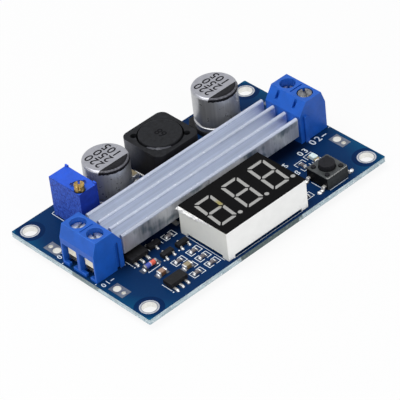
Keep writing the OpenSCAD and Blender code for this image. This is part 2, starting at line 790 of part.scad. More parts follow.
module terminal_housing() {
    cavity_end = cage_setback + cage_l + loose;
    slot_z = terminal_h - divider_w / 2 - probe_slot_l;
    color("royalblue")
        difference() {
            union() {
                along_y(terminal_w) terminal_profile();
                translate([terminal_depth - rib_setback, terminal_w / 2, 0])
                    linear_extrude(rib_h) rib_outline(0);
            }
            translate([terminal_depth - rib_setback, -terminal_w / 2, -cut])
                linear_extrude(rib_h + loose + cut) rib_outline(loose);
            translate([screw_setback - divider_l / 2, -divider_w / 2, terminal_h - divider_w])
                cube([divider_l, divider_w, 2 * divider_w]);
            for (w = ways)
                translate([0, w, 0]) {
                    // Wire opening, cavity for the metal, notch in the sill, screw hole, probe slot
                    translate([-cut, -wire_opening_w / 2, terminal_sill_h])
                        cube([terminal_front_wall + 2 * cut, wire_opening_w,
                            wire_opening_top - terminal_sill_h]);
                    translate([terminal_front_wall, -wire_opening_w / 2, -cut])
                        cube([cavity_end - terminal_front_wall, wire_opening_w, cage_top + loose + cut]);
                    translate([-cut, -sill_notch_w / 2, -cut])
                        cube([terminal_front_wall + 2 * cut, sill_notch_w, terminal_sill_h + 2 * cut]);
                    translate([screw_setback, 0, cage_top]) cylinder(r = screw_hole_r, h = terminal_h);
                    translate([terminal_depth - 0.9 * terminal_back_lean, -probe_slot_w / 2, slot_z])
                        cube([terminal_back_lean, probe_slot_w, probe_slot_l]);
                }
        }
}

module terminal_contacts() {
    color("gainsboro")
        for (w = ways)
            translate([0, w, 0]) {
                difference() {
                    translate([cage_setback, -cage_w / 2, cage_bottom])
                        cube([cage_l, cage_w, cage_top - cage_bottom]);
                    translate([cage_setback - cut, -cage_w / 2 + cage_wall, cage_bottom + cage_floor_t])
                        cube([cage_l + 2 * cut, cage_w - 2 * cage_wall,
                            cage_top - cage_top_t - cage_bottom - cage_floor_t]);
                    translate([screw_setback, 0, cage_bottom + cage_floor_t])
                        cylinder(r = screw_r + running, h = cage_top);
                }
                translate([screw_setback, 0, -board_t - pin_below])
                    cylinder(r = terminal_pin_r, h = board_t + pin_below + cage_bottom);
            }
}

// Wire guard under a screw that lies "depth" below the terminal's top
module guard(way, depth) {
    color("lightgoldenrodyellow")
        translate([guard_start, way - guard_w / 2, guard_low + screw_deepest - depth]) {
            cube([cage_setback + cage_l - guard_start - 3 * loose, guard_w, guard_t]);
            cube([guard_lip_t, guard_w, guard_lip_h]);
        }
}

module terminal_screw(way, depth, slot_turn) {
    color("silver")
        translate([screw_setback, way, terminal_h - depth - screw_head_h])
            difference() {
                union() {
                    cylinder(r = screw_head_r, h = screw_head_h);
                    translate([0, 0, -shank_l]) cylinder(r = screw_r, h = shank_l);
                }
                translate([0, 0, screw_head_h - screw_slot_d])
                    rotate(slot_turn) block(4 * screw_head_r, screw_slot_w, 1);
            }
}

// The plus ways lie towards +Y. The output terminal is turned round, so its ways swap.
module input_terminal_housing() { input_place() terminal_housing(); }
module output_terminal_housing() { output_place() terminal_housing(); }
module input_terminal_contacts() { input_place() terminal_contacts(); }
module output_terminal_contacts() { output_place() terminal_contacts(); }
module input_positive_guard() { input_place() guard(ways[1], input_positive_depth); }
module input_negative_guard() { input_place() guard(ways[0], input_negative_depth); }
module output_positive_guard() { output_place() guard(ways[0], output_positive_depth); }
module output_negative_guard() { output_place() guard(ways[1], output_negative_depth); }
module input_positive_screw() {
    input_place() terminal_screw(ways[1], input_positive_depth, input_positive_slot);
}
module input_negative_screw() {
    input_place() terminal_screw(ways[0], input_negative_depth, input_negative_slot);
}
module output_positive_screw() {
    output_place() terminal_screw(ways[0], output_positive_depth, output_positive_slot);
}
module output_negative_screw() {
    output_place() terminal_screw(ways[1], output_negative_depth, output_negative_slot);
}

// Trimmer

module trimmer_housing() {
    ear = trimmer_ear_w;
    foot = trimmer_foot_w;
    color("mediumblue")
        translate([trimmer_x, trimmer_y, board_top])
            difference() {
                union() {
                    translate([0, 0, trimmer_foot_h])
                        block(trimmer_w, trimmer_l, trimmer_h - trimmer_foot_h);
                    for (sx = [-1, 1], sy = [-1, 1])
                        translate([sx * (trimmer_w - foot) / 2, sy * (trimmer_l - foot) / 2, 0])
                            block(foot, foot, trimmer_foot_h);
                    for (sy = [-1, 1])
                        translate([(trimmer_w - ear / 2) / 2, sy * (trimmer_l - ear) / 2, trimmer_h])
                            block(ear / 2, ear, ear / 2);
                }
                translate([trimmer_screw_x - trimmer_x, trimmer_screw_y - trimmer_y,
                        trimmer_h - trimmer_screw_in])
                    cylinder(r = trimmer_screw_r + running, h = trimmer_screw_in + cut);
            }
}

module trimmer_screw() {
    l = trimmer_screw_in - running + trimmer_screw_out;
    color("goldenrod")
        translate([trimmer_screw_x, trimmer_screw_y,
                board_top + trimmer_h - trimmer_screw_in + running])
            difference() {
                cylinder(r = trimmer_screw_r, h = l);
                translate([0, 0, l - trimmer_slot_d])
                    rotate(trimmer_slot_turn)
                        block(4 * trimmer_screw_r, trimmer_slot_w, 2 * trimmer_slot_d);
            }
}

// Round pin from "top" above the board down through it
module through_pin(p, top) {
    translate([p.x, p.y, -pin_below]) cylinder(r = p[2], h = pin_below + board_t + top);
}

module trimmer_pins() {
    color("silver") for (p = trimmer_pin_points) through_pin(p, trimmer_foot_h);
}

// Electrolytic capacitors; the positive side lies towards +Y

module capacitor_can(p) {
    edge = can_edge_r;
    z0 = can_base_z + can_base_h;
    h = board_top + can_h - z0;
    color("gainsboro")
        translate([p.x, p.y, z0])
            rotate_extrude()
                difference() {
                    union() {
                        square([can_r, h - edge]);
                        square([can_r - edge, h]);
                        translate([can_r - edge, h - edge]) circle(edge);
                    }
                    translate([can_r + can_bead_r - can_bead_d, can_bead_z]) circle(can_bead_r);
                }
}

module capacitor_base(p) {
    c = can_base_chamfer;
    a = can_base_w / 2;
    color("dimgray")
        translate([p.x, p.y, can_base_z])
            difference() {
                linear_extrude(can_base_h)
                    polygon([[-a, -a], [a, -a], [a, a - c], [a - c, a], [-a + c, a], [-a, a - c]]);
                for (turn = [0, 180])
                    rotate(turn)
                        translate([-can_lead_w / 2 - loose, can_lead_start - loose, -cut])
                            cube([can_lead_w + 2 * loose, a, can_lead_t - copper_t + cut]);
            }
}

module capacitor_leads(p) {
    reach = can_base_w / 2 + can_lead_out;
    color("silver")
        for (turn = [0, 180])
            translate([p.x, p.y, seat])
                rotate(turn)
                    translate([-can_lead_w / 2, can_lead_start, 0])
                        cube([can_lead_w, reach - can_lead_start, can_lead_t]);
}

module input_capacitor_can() { capacitor_can(input_can); }
module input_capacitor_base() { capacitor_base(input_can); }
module input_capacitor_leads() { capacitor_leads(input_can); }
module output_capacitor_can() { capacitor_can(output_can); }
module output_capacitor_base() { capacitor_base(output_can); }
module output_capacitor_leads() { capacitor_leads(output_can); }

// Choke: a ferrite shield round a wound drum core

module inductor_shield() {
    h = board_top + choke_shield_h - choke_base_z;
    pit_place = choke_core_r + choke_gap + 0.7 * choke_pit_r;
    color("darkslategray")
        translate([choke_x, choke_y, choke_base_z])
            difference() {
                linear_extrude(h)
                    difference() {
                        rounded_rectangle(choke_w, choke_w, choke_corner_r);
                        circle(choke_core_r + choke_gap);
                    }
                for (turn = [135, -45])
                    rotate(turn)
                        translate([pit_place, 0, h - choke_pit_d])
                            cylinder(r = choke_pit_r, h = choke_pit_d + cut);
            }
}

module inductor_core() {
    h = board_top + choke_h - choke_base_z;
    color("dimgray")
        translate([choke_x, choke_y, choke_base_z])
            rotate_extrude() {
                square([choke_core_r, choke_flange_t]);
                square([choke_waist_r, h]);
                translate([0, h - choke_flange_t]) square([choke_core_r, choke_flange_t]);
            }
}

module inductor_winding() {
    h = board_top + choke_h - choke_base_z - 2 * choke_flange_t;
    color("peru")
        translate([choke_x, choke_y, choke_base_z + choke_flange_t])
            linear_extrude(h)
                difference() {
                    circle(choke_coil_r);
                    circle(choke_waist_r);
                }
}

module inductor_terminals() {
    color("silver")
        for (sx = [-1, 1])
            translate([choke_x + sx * (choke_w - choke_terminal_l) / 2, choke_y, seat])
                block(choke_terminal_l, choke_terminal_w, choke_terminal_t);
}

// Heatsink and the two power packages under it

module heatsink() {
    color("lightsteelblue")
        translate([0, heatsink_y, heatsink_z])
            along_x(heatsink_l) {
                translate([-heatsink_w / 2, 0]) square([heatsink_w, heatsink_base_t]);
                for (i = [0 : fin_count - 1])
                    translate([(i - (fin_count - 1) / 2) * fin_pitch, 0]) {
                        translate([-fin_t / 2, 0]) square([fin_t, heatsink_h - fin_t / 2]);
                        translate([0, heatsink_h - fin_t / 2]) circle(fin_t / 2);
                    }
            }
}

module thermal_pads() {
    color("white")
        for (x = [mosfet_x, rectifier_x])
            translate([x, power_y, seat + power_h]) block(power_w, power_l, thermal_t);
}

module power_tab() {
    translate([-power_tab_w / 2, power_l / 2 - power_tab_in, 0])
        cube([power_tab_w, power_tab_in + power_tab_out, power_tab_t]);
}

module power_body(x) {
    color("dimgray")
        translate([x, power_y, seat])
            difference() {
                moulded(power_w, power_l, power_h);
                power_tab();
            }
}

// The metal frame: the tab that the body is moulded on, and two bent leads at its waist
module power_frame(x) {
    color("silver")
        translate([x, power_y, seat]) {
            power_tab();
            for (sx = [-1, 1])
                translate([sx * power_lead_pitch / 2, -power_l / 2, 0])
                    gull_wing(power_lead_out, power_h / 2, power_lead_w, power_tab_t);
        }
}

module mosfet_body() { power_body(mosfet_x); }
module mosfet_frame() { power_frame(mosfet_x); }
module rectifier_body() { power_body(rectifier_x); }
module rectifier_frame() { power_frame(rectifier_x); }

// Voltmeter display

// Mirrored by the signs sx and sy
function flipped(points, sx, sy) = [for (p = points) [sx * p.x, sy * p.y]];
// Leant over with height
function leant(points) = [for (p = points) [p.x + digit_lean * p.y, p.y]];

bar_mitre = bar_gap / sqrt(2);
bar_end_x = digit_w / 2;
bar_end_y = digit_h / 2;
// Outer bars meet at the digit's corners in a mitre with blunt tips
half_top = [[bar_end_x - bar_mitre - bar_tip, bar_end_y],
    [bar_end_x - bar_mitre - bar_tip / 2, bar_end_y - bar_tip / 2],
    [bar_end_x - bar_w - bar_mitre, bar_end_y - bar_w]];
top_bar = concat(half_top, [for (i = [2, 1, 0]) [-half_top[i].x, half_top[i].y]]);
side_bar = [[bar_end_x, bar_end_y - bar_mitre - bar_tip], [bar_end_x, bar_gap / 2],
    [bar_end_x - bar_w / 2, bar_gap / 2], [bar_end_x - bar_w, (bar_w + bar_gap) / 2],
    [bar_end_x - bar_w, bar_end_y - bar_w - bar_mitre],
    [bar_end_x - bar_tip / 2, bar_end_y - bar_mitre - bar_tip / 2]];
// The middle bar has pointed ends
half_middle = [[bar_end_x - bar_w - bar_mitre, bar_w / 2], [bar_end_x - bar_w / 2 - bar_mitre, 0],
    [bar_end_x - bar_w - bar_mitre, -bar_w / 2]];
middle_bar = concat(half_middle, flipped(half_middle, -1, -1));
upright_bars = concat([top_bar, flipped(top_bar, 1, -1), middle_bar],
    [for (sx = [-1, 1]) for (sy = [-1, 1]) flipped(side_bar, sx, sy)]);
digit_bars = [for (b = upright_bars) leant(b)];
point_x = digit_w / 2 + point_r;
point_y = (bar_w - digit_h) / 2;

module segment_outlines() {
    for (x = digit_places)
        translate([x, display_y]) {
            for (b = digit_bars) polygon(b);
            translate([point_x, point_y]) circle(point_r);
        }
}

module display_housing() {
    body_h = display_h - display_face_t;
    inner_l = display_l - 2 * display_wall;
    inner_w = display_w - 2 * display_wall;
    color("whitesmoke")
        difference() {
            translate([display_x, display_y, board_top])
                difference() {
                    block(display_l, display_w, body_h);
                    translate([0, 0, -cut]) {
                        block(inner_l, inner_w, carrier_z + carrier_t + cut);
                        block(display_l - 2 * display_foot_l, 2 * display_w, display_foot_h + cut);
                        block(2 * display_l, display_w - 2 * display_foot_l, display_foot_h + cut);
                    }
                }
            translate([0, 0, board_top]) linear_extrude(display_h) segment_outlines();
        }
}

module display_face() {
    color("black")
        translate([0, 0, display_top - display_face_t])
            linear_extrude(display_face_t)
                difference() {
                    translate([display_x, display_y]) square([display_l, display_w], center = true);
                    segment_outlines();
                }
}

module display_segments() {
    z0 = board_top + carrier_z + carrier_t;
    color("lightgray") translate([0, 0, z0]) linear_extrude(display_top - z0) segment_outlines();
}

module display_carrier() {
    color("seagreen")
        translate([display_x, display_y, board_top + carrier_z])
            block(display_l - 2 * display_wall - loose, display_w - 2 * display_wall - loose, carrier_t);
}

module display_pins() {
    color("silver")
        for (p = display_pin_points) through_pin([p.x, p.y, display_pin_r], carrier_z);
}

// Push button

module button_place() {
    translate([button_x, button_y, board_top]) children();
}

module button_base() {
    post_h = 2 * button_cover_t;
    color("dimgray")
        button_place()
            difference() {
                union() {
                    translate([0, 0, copper_t]) block(button_w, button_w, button_base_h - copper_t);
                    for (p = button_posts)
                        translate([p.x, p.y, button_base_h]) cylinder(r = button_post_r, h = post_h);
                }
                translate([0, 0, dome_floor]) cylinder(r = dome_well_r, h = button_base_h);
            }
}

module button_cover() {
    color("gray")
        button_place()
            translate([0, 0, button_base_h])
                linear_extrude(button_cover_t)
                    difference() {
                        rounded_rectangle(button_w, button_w, button_cover_r);
                        circle(plunger_r + loose);
                        for (p = button_posts) translate(p) circle(button_post_r + running);
                    }
}

module button_plunger() {
    foot_z = dome_floor + dome_h + running;
    flange_z = button_base_h - running - plunger_flange_t;
    color("black")
        button_place() {
            translate([0, 0, foot_z]) cylinder(r = plunger_foot_r, h = flange_z - foot_z);
            translate([0, 0, flange_z]) cylinder(r = plunger_flange_r, h = plunger_flange_t);
            translate([0, 0, flange_z]) cylinder(r = plunger_r, h = button_h - flange_z);
        }
}

module button_dome() {
    color("gold")
        button_place()
            translate([0, 0, dome_floor])
                rotate_extrude()
                    intersection() {
                        translate([0, dome_h - dome_curve])
                            difference() {
                                circle(dome_curve, $fn = 96);
                                circle(dome_curve - dome_t, $fn = 96);
                            }
                        square([dome_r, dome_h]);
                    }
}

module button_leads() {
    color("silver")
        for (turn = [90, -90], s = [-1, 1])
            translate([button_x, button_y, seat])
                rotate(turn)
                    translate([s * button_lead_gap / 2, -button_w / 2, 0])
                        gull_wing(button_lead_out, button_lead_h, button_lead_w, button_lead_t);
}

// Chip parts

// Body between the two metal ends of a chip part
module chip_body(l, w, h, end) { block(l - 2 * end, w, h); }

module chip_ends(l, w, h, end) {
    for (sx = [-1, 1]) translate([sx * (l - end) / 2, 0, 0]) block(end, w, h);
}

module chip_resistor_bodies() {
    color("black")
        for (p = resistors) placed(p) chip_body(resistor_l, resistor_w, resistor_h, resistor_end);
}

module chip_resistor_ends() {
    color("silver")
        for (p = resistors) placed(p) chip_ends(resistor_l, resistor_w, resistor_h, resistor_end);
}

module chip_capacitor_bodies() {
    color("tan") {
        for (p = small_ceramics) placed(p) chip_body(ceramic_l, ceramic_w, ceramic_h, ceramic_end);
        placed(large_ceramic) chip_body(large_ceramic_l, large_ceramic_w, large_ceramic_h, ceramic_end);
    }
}

module chip_capacitor_ends() {
    color("silver") {
        for (p = small_ceramics) placed(p) chip_ends(ceramic_l, ceramic_w, ceramic_h, ceramic_end);
        placed(large_ceramic) chip_ends(large_ceramic_l, large_ceramic_w, large_ceramic_h, ceramic_end);
    }
}

module regulator_bodies() {
    color("dimgray")
        for (p = regulators)
            placed(p)
                translate([0, 0, regulator_lead_t])
                    block(regulator_l, regulator_w, regulator_h - regulator_lead_t);
}

// Three leads at the front; the middle one runs under the body to the wide tab at the back
module regulator_leads() {
    reach = regulator_w / 2 + regulator_lead_out;
    color("silver")
        for (p = regulators)
            placed(p) {
                for (sx = [-1, 1])
                    translate([sx * regulator_pitch - regulator_lead_w / 2, -reach, 0])
                        cube([regulator_lead_w, regulator_lead_out + regulator_lead_in, regulator_lead_t]);
                translate([-regulator_lead_w / 2, -reach, 0])
                    cube([regulator_lead_w, reach, regulator_lead_t]);
                translate([-regulator_tab_w / 2, -regulator_tab_in, 0])
                    cube([regulator_tab_w, reach + regulator_tab_in, regulator_lead_t]);
            }
}

module transistor_bodies() {
    color("dimgray")
        for (p = transistors)
            placed(p)
                translate([0, 0, copper_t]) moulded(transistor_l, transistor_w, transistor_h - copper_t);
}

module transistor_leads() {
    lead_h = transistor_h / 2 + copper_t / 2;
    color("silver")
        for (p = transistors)
            placed(p) {
                for (sx = [-1, 1])
                    translate([sx * transistor_pitch / 2, -transistor_w / 2, 0])
                        gull_wing(transistor_lead_out, lead_h, transistor_lead_w, lead_t);
                rotate(180)
                    translate([0, -transistor_w / 2, 0])
                        gull_wing(transistor_lead_out, lead_h, transistor_lead_w, lead_t);
            }
}

// Glass diode lying along X
module diode_place() {
    translate([column_x[0], glass_diode_y, seat + glass_diode_r]) rotate([0, 90, 0]) children();
}

module glass_diode_body() {
    glass_l = glass_diode_l - 2 * glass_cap_l;
    color("orangered")
        diode_place() cylinder(r = glass_diode_r - running, h = glass_l, center = true);
}

module glass_diode_caps() {
    color("silver")
        diode_place()
            for (sx = [-1, 1])
                translate([0, 0, sx * (glass_diode_l - glass_cap_l) / 2])
                    cylinder(r = glass_diode_r, h = glass_cap_l, center = true);
}

// Indicator lamp: a cast lens between two soldered ends
module indicator_led_lens() {
    color("honeydew")
        placed([lamp_x, lamp_y, 90]) {
            block(lamp_l - 2 * lamp_end, lamp_w, lamp_h);
            translate([0, 0, lamp_h / 2]) block(lamp_l - lamp_end, lamp_w - loose, lamp_h / 2);
        }
}

module indicator_led_ends() {
    color("gold") placed([lamp_x, lamp_y, 90]) chip_ends(lamp_l, lamp_w, lamp_h / 2, lamp_end);
}

module controller_bodies() {
    color("dimgray")
        for (c = controllers)
            placed([c.x, c.y, 0]) translate([0, 0, copper_t]) moulded(c[2], c[3], c[4] - copper_t);
}

module controller_leads() {
    color("silver")
        for (c = controllers, turn = [0, 180], i = [0 : c[5] - 1])
            placed([c.x, c.y, turn])
                translate([(i - (c[5] - 1) / 2) * c[6], -c[3] / 2, 0])
                    gull_wing(controller_lead_out, c[4] / 2 + copper_t / 2, controller_lead_w, lead_t);
}

pcb();
mounting_rings();
wire_pads();
solder_lands();
solder_joints();
input_terminal_housing();
output_terminal_housing();
input_terminal_contacts();
output_terminal_contacts();
input_positive_guard();
input_negative_guard();
output_positive_guard();
output_negative_guard();
input_positive_screw();
input_negative_screw();
output_positive_screw();
output_negative_screw();
trimmer_housing();
trimmer_screw();
trimmer_pins();
input_capacitor_can();
input_capacitor_base();
input_capacitor_leads();
output_capacitor_can();
output_capacitor_base();
output_capacitor_leads();
inductor_shield();
inductor_core();
inductor_winding();
inductor_terminals();
heatsink();
thermal_pads();
mosfet_body();
mosfet_frame();
rectifier_body();
rectifier_frame();
display_housing();
display_face();
display_segments();
display_carrier();
display_pins();
button_base();
button_cover();
button_plunger();
button_dome();
button_leads();
chip_resistor_bodies();
chip_resistor_ends();
chip_capacitor_bodies();
chip_capacitor_ends();
regulator_bodies();
regulator_leads();
transistor_bodies();
transistor_leads();
glass_diode_body();
glass_diode_caps();
indicator_led_lens();
indicator_led_ends();
controller_bodies();
controller_leads();
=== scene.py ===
import json
import math

import bmesh
import bpy
from mathutils import Matrix, Vector, noise

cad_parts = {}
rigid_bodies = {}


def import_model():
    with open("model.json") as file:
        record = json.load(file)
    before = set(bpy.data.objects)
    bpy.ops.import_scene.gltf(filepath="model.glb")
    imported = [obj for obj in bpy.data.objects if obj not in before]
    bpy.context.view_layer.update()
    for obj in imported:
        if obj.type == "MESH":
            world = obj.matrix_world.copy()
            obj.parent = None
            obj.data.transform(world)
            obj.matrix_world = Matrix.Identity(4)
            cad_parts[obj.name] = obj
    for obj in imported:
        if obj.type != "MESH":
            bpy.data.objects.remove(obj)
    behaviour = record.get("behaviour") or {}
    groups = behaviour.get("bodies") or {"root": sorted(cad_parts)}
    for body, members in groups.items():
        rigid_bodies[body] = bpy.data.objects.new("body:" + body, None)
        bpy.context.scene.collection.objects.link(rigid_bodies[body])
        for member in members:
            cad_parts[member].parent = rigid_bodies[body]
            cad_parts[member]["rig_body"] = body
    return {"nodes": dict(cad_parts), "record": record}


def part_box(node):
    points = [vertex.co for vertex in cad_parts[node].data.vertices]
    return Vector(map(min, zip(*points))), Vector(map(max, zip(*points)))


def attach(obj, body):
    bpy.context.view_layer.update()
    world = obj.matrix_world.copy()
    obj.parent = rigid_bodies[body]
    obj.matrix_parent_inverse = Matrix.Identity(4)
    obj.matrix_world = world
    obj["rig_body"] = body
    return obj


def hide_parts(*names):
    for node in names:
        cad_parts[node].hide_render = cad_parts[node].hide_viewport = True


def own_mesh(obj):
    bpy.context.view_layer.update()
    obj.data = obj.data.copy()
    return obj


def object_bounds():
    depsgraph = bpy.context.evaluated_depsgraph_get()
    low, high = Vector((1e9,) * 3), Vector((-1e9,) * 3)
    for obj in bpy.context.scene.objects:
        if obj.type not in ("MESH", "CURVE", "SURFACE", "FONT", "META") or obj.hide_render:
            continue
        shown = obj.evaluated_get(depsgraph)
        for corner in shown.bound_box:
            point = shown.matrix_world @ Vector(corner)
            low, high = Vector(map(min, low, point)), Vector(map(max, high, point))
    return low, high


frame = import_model()
nodes = frame["nodes"]
mounts = {mount["name"]: mount for mount in frame["record"]["mounts"]}
cad_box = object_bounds()
MM = 0.001
MERGE = 1e-6  # points of a CAD mesh that lie closer than this, in metres, are one
FACING = 0.9  # a face looks along an axis when its normal has more than this along it


def add_node(tree, kind, inputs=(), **settings):
    """New shader node. Each input takes a link from an output, or a plain value."""
    node = tree.nodes.new("ShaderNode" + kind)
    for key, value in settings.items():
        setattr(node, key, value)
    for key, value in dict(inputs).items():
        if isinstance(value, bpy.types.NodeSocket):
            tree.links.new(value, node.inputs[key])
        else:
            node.inputs[key].default_value = value
    return node


# Camera, floor and light

def make_camera():
    """Camera at the photograph's viewing angle."""
    right = Vector((0.7218513, -0.68562348, -0.09408057))
    up = Vector((0.48521331, 0.40447663, 0.77522042))
    back = Vector((-0.49345593, -0.60524301, 0.62464562))
    place = Vector((-0.267236, -0.327658, 0.337822))
    data = bpy.data.cameras.new("camera")
    data.lens = 235.9
    data.sensor_width = 36
    data.clip_start, data.clip_end = 0.01, 20
    cam = bpy.data.objects.new("camera", data)
    cam.matrix_world = Matrix([[*a, b] for a, b in zip(zip(right, up, back), place)] + [[0, 0, 0, 1]])
    bpy.context.scene.collection.objects.link(cam)
    bpy.context.scene.camera = cam


def seen_directly(tree):
    """1 for rays that come from the camera, a mirror or glass, and 0 for light that bounces."""
    path = add_node(tree, "LightPath")
    out = path.outputs["Is Camera Ray"]
    for name in ("Is Glossy Ray", "Is Transmission Ray"):
        either = add_node(tree, "Math", {0: out, 1: path.outputs[name]}, operation="MAXIMUM")
        out = either.outputs[0]
    return out


def mixed(tree, share, first, second):
    """Shader that goes from first to second as share goes from 0 to 1."""
    return add_node(tree, "MixShader", {0: share, 1: first, 2: second}).outputs[0]


def make_floor():
    """Pale floor that is nearly white where it is seen directly, and clear from below."""
    reach, whiteness = 3, 0.9
    mat = bpy.data.materials.new("floor")
    mat.use_nodes = True
    t = mat.node_tree
    t.nodes.clear()
    diffuse = add_node(t, "BsdfDiffuse", {"Color": (0.82, 0.82, 0.82, 1)})
    glow = add_node(t, "Emission", {"Strength": 1})
    share = add_node(t, "Math", {0: seen_directly(t), 1: whiteness}, operation="MULTIPLY")
    above = mixed(t, share.outputs[0], diffuse.outputs[0], glow.outputs[0])
    below = add_node(t, "BsdfTransparent").outputs[0]
    side = add_node(t, "NewGeometry").outputs["Backfacing"]
    add_node(t, "OutputMaterial", {"Surface": mixed(t, side, above, below)})
    z = cad_box[0].z
    mesh = bpy.data.meshes.new("floor")
    corners = [(-reach, -reach, z), (reach, -reach, z), (reach, reach, z), (-reach, reach, z)]
    mesh.from_pydata(corners, [], [(0, 1, 2, 3)])
    mesh.materials.append(mat)
    floor = bpy.data.objects.new("floor", mesh)
    bpy.context.scene.collection.objects.link(floor)


def make_light():
    """Studio light: a soft room that is white where it is seen directly, and three large lamps."""
    world = bpy.data.worlds.new("studio")
    bpy.context.scene.world = world
    world.use_nodes = True
    t = world.node_tree
    t.nodes.clear()
    room = add_node(t, "Background", {"Color": (0.95, 0.97, 1, 1), "Strength": 0.3})
    white = add_node(t, "Background", {"Color": (1, 1, 1, 1), "Strength": 1})
    light = mixed(t, seen_directly(t), room.outputs[0], white.outputs[0])
    add_node(t, "OutputWorld", {"Surface": light})
    for name, place, size, watts in (
            ("overhead", (-0.12, 0.14, 0.6), 0.45, 2.6),
            ("left", (-0.55, -0.05, 0.3), 0.4, 0.9),
            ("front", (-0.1, -0.58, 0.34), 0.45, 1.5)):
        data = bpy.data.lights.new(name, "AREA")
        data.size = size
        data.energy = watts
        lamp = bpy.data.objects.new(name, data)
        lamp.location = place
        lamp.rotation_euler = Vector(place).to_track_quat("Z", "Y").to_euler()
        bpy.context.scene.collection.objects.link(lamp)


# Materials

LOW, HIGH = 0.3, 0.7  # a noise texture lies mostly between these


def lin(rgb):
    """Linear colour from levels of 0 to 255."""
    return tuple(((c / 255 + 0.055) / 1.055) ** 2.4 if c > 10 else c / 255 / 12.92 for c in rgb) + (1,)


def dim(rgb, share):
    """Colour of rgb times share."""
    return tuple(min(255, c * share) for c in rgb)


class Finish:
    """Principled material from textures in the piece's own space."""

    def __init__(self, name, metal=0.0, spec=0.5, coat=0.0, coat_rough=0.1):
        self.mat = bpy.data.materials.new(name)
        self.mat.use_nodes = True
        self.tree = self.mat.node_tree
        self.surface = self.tree.nodes["Principled BSDF"].inputs
        for key, value in (("Metallic", metal), ("Specular IOR Level", spec),
                           ("Coat Weight", coat), ("Coat Roughness", coat_rough)):
            self.surface[key].default_value = value
        self.coord = self.new("TexCoord").outputs["Object"]
        self.normal = None

    def new(self, kind, inputs=(), **settings):
        return add_node(self.tree, kind, inputs, **settings)

    def noise(self, size, detail=4.0, rough=0.55, stretch=(1, 1, 1)):
        """Noise whose features are about size mm across, drawn out by stretch along each axis."""
        per_metre = [1 / MM / size / s for s in stretch]
        place = self.new("Mapping", {"Vector": self.coord, "Scale": per_metre}).outputs[0]
        return self.new("TexNoise", {
            "Vector": place, "Scale": 1, "Detail": detail, "Roughness": rough}).outputs["Fac"]

    def math(self, operation, *values):
        """Result of a Math node on outputs and plain numbers."""
        return self.new("Math", enumerate(values), operation=operation).outputs[0]

    def distance(self, point):
        """Distance in metres from a point given in mm."""
        ends = {0: self.coord, 1: [v * MM for v in point]}
        return self.new("VectorMath", ends, operation="DISTANCE").outputs["Value"]

    def axis(self, name):
        """Place along X, Y or Z in metres."""
        return self.new("SeparateXYZ", {0: self.coord}).outputs[name]

    def span(self, fac, low, high, from_low=LOW, from_high=HIGH):
        """Takes the range from_low to from_high to low to high, and no further."""
        ends = {"From Min": from_low, "From Max": from_high, "To Min": low, "To Max": high}
        return self.new("MapRange", {"Value": fac, **ends}).outputs[0]

    def ramp(self, fac, stops):
        """Colour by fac, from pairs of a place between 0 and 1 and a colour."""
        node = self.new("ValToRGB", {0: fac})
        ramp = node.color_ramp
        while len(ramp.elements) < len(stops):
            ramp.elements.new(0.5)
        for element, (at, colour) in zip(ramp.elements, stops):
            element.position = at
            element.color = lin(colour)
        return node.outputs[0]

    def mix(self, fac, first, second):
        """Colour that goes from first to second, outputs or colours, as fac goes from 0 to 1."""
        first, second = (lin(c) if isinstance(c, tuple) else c for c in (first, second))
        return self.new("Mix", {0: fac, 6: first, 7: second}, data_type="RGBA").outputs[2]

    def colour(self, out):
        self.tree.links.new(out, self.surface["Base Color"])

    def rough(self, fac, low, high):
        self.tree.links.new(self.span(fac, low, high), self.surface["Roughness"])

    def bump(self, height, depth):
        """Raises the surface by height times depth mm. Later bumps lie on earlier ones."""
        node = self.new("Bump", {"Height": height, "Strength": 1, "Distance": depth * MM})
        if self.normal:
            self.tree.links.new(self.normal, node.inputs["Normal"])
        self.normal = node.outputs[0]
        self.tree.links.new(self.normal, self.surface["Normal"])


def plain(name, rgb, rough, metal=0.0, vary=0.1, size=0.4, grain=0.2, depth=0.006, spec=0.25, coat=0.0):
    """Moulded or plated surface: blotches size mm across that differ by vary, uneven gloss, and a grain
    of grain mm that is depth mm deep."""
    gloss_spread, gloss_size = 0.07, 0.6 * size
    f = Finish(name, metal, spec, coat)
    f.colour(f.ramp(f.noise(size), [(LOW, dim(rgb, 1 - vary)), (HIGH, dim(rgb, 1 + vary))]))
    f.rough(f.noise(gloss_size), rough - gloss_spread, rough + gloss_spread)
    f.bump(f.noise(grain, 3), depth)
    return f.mat


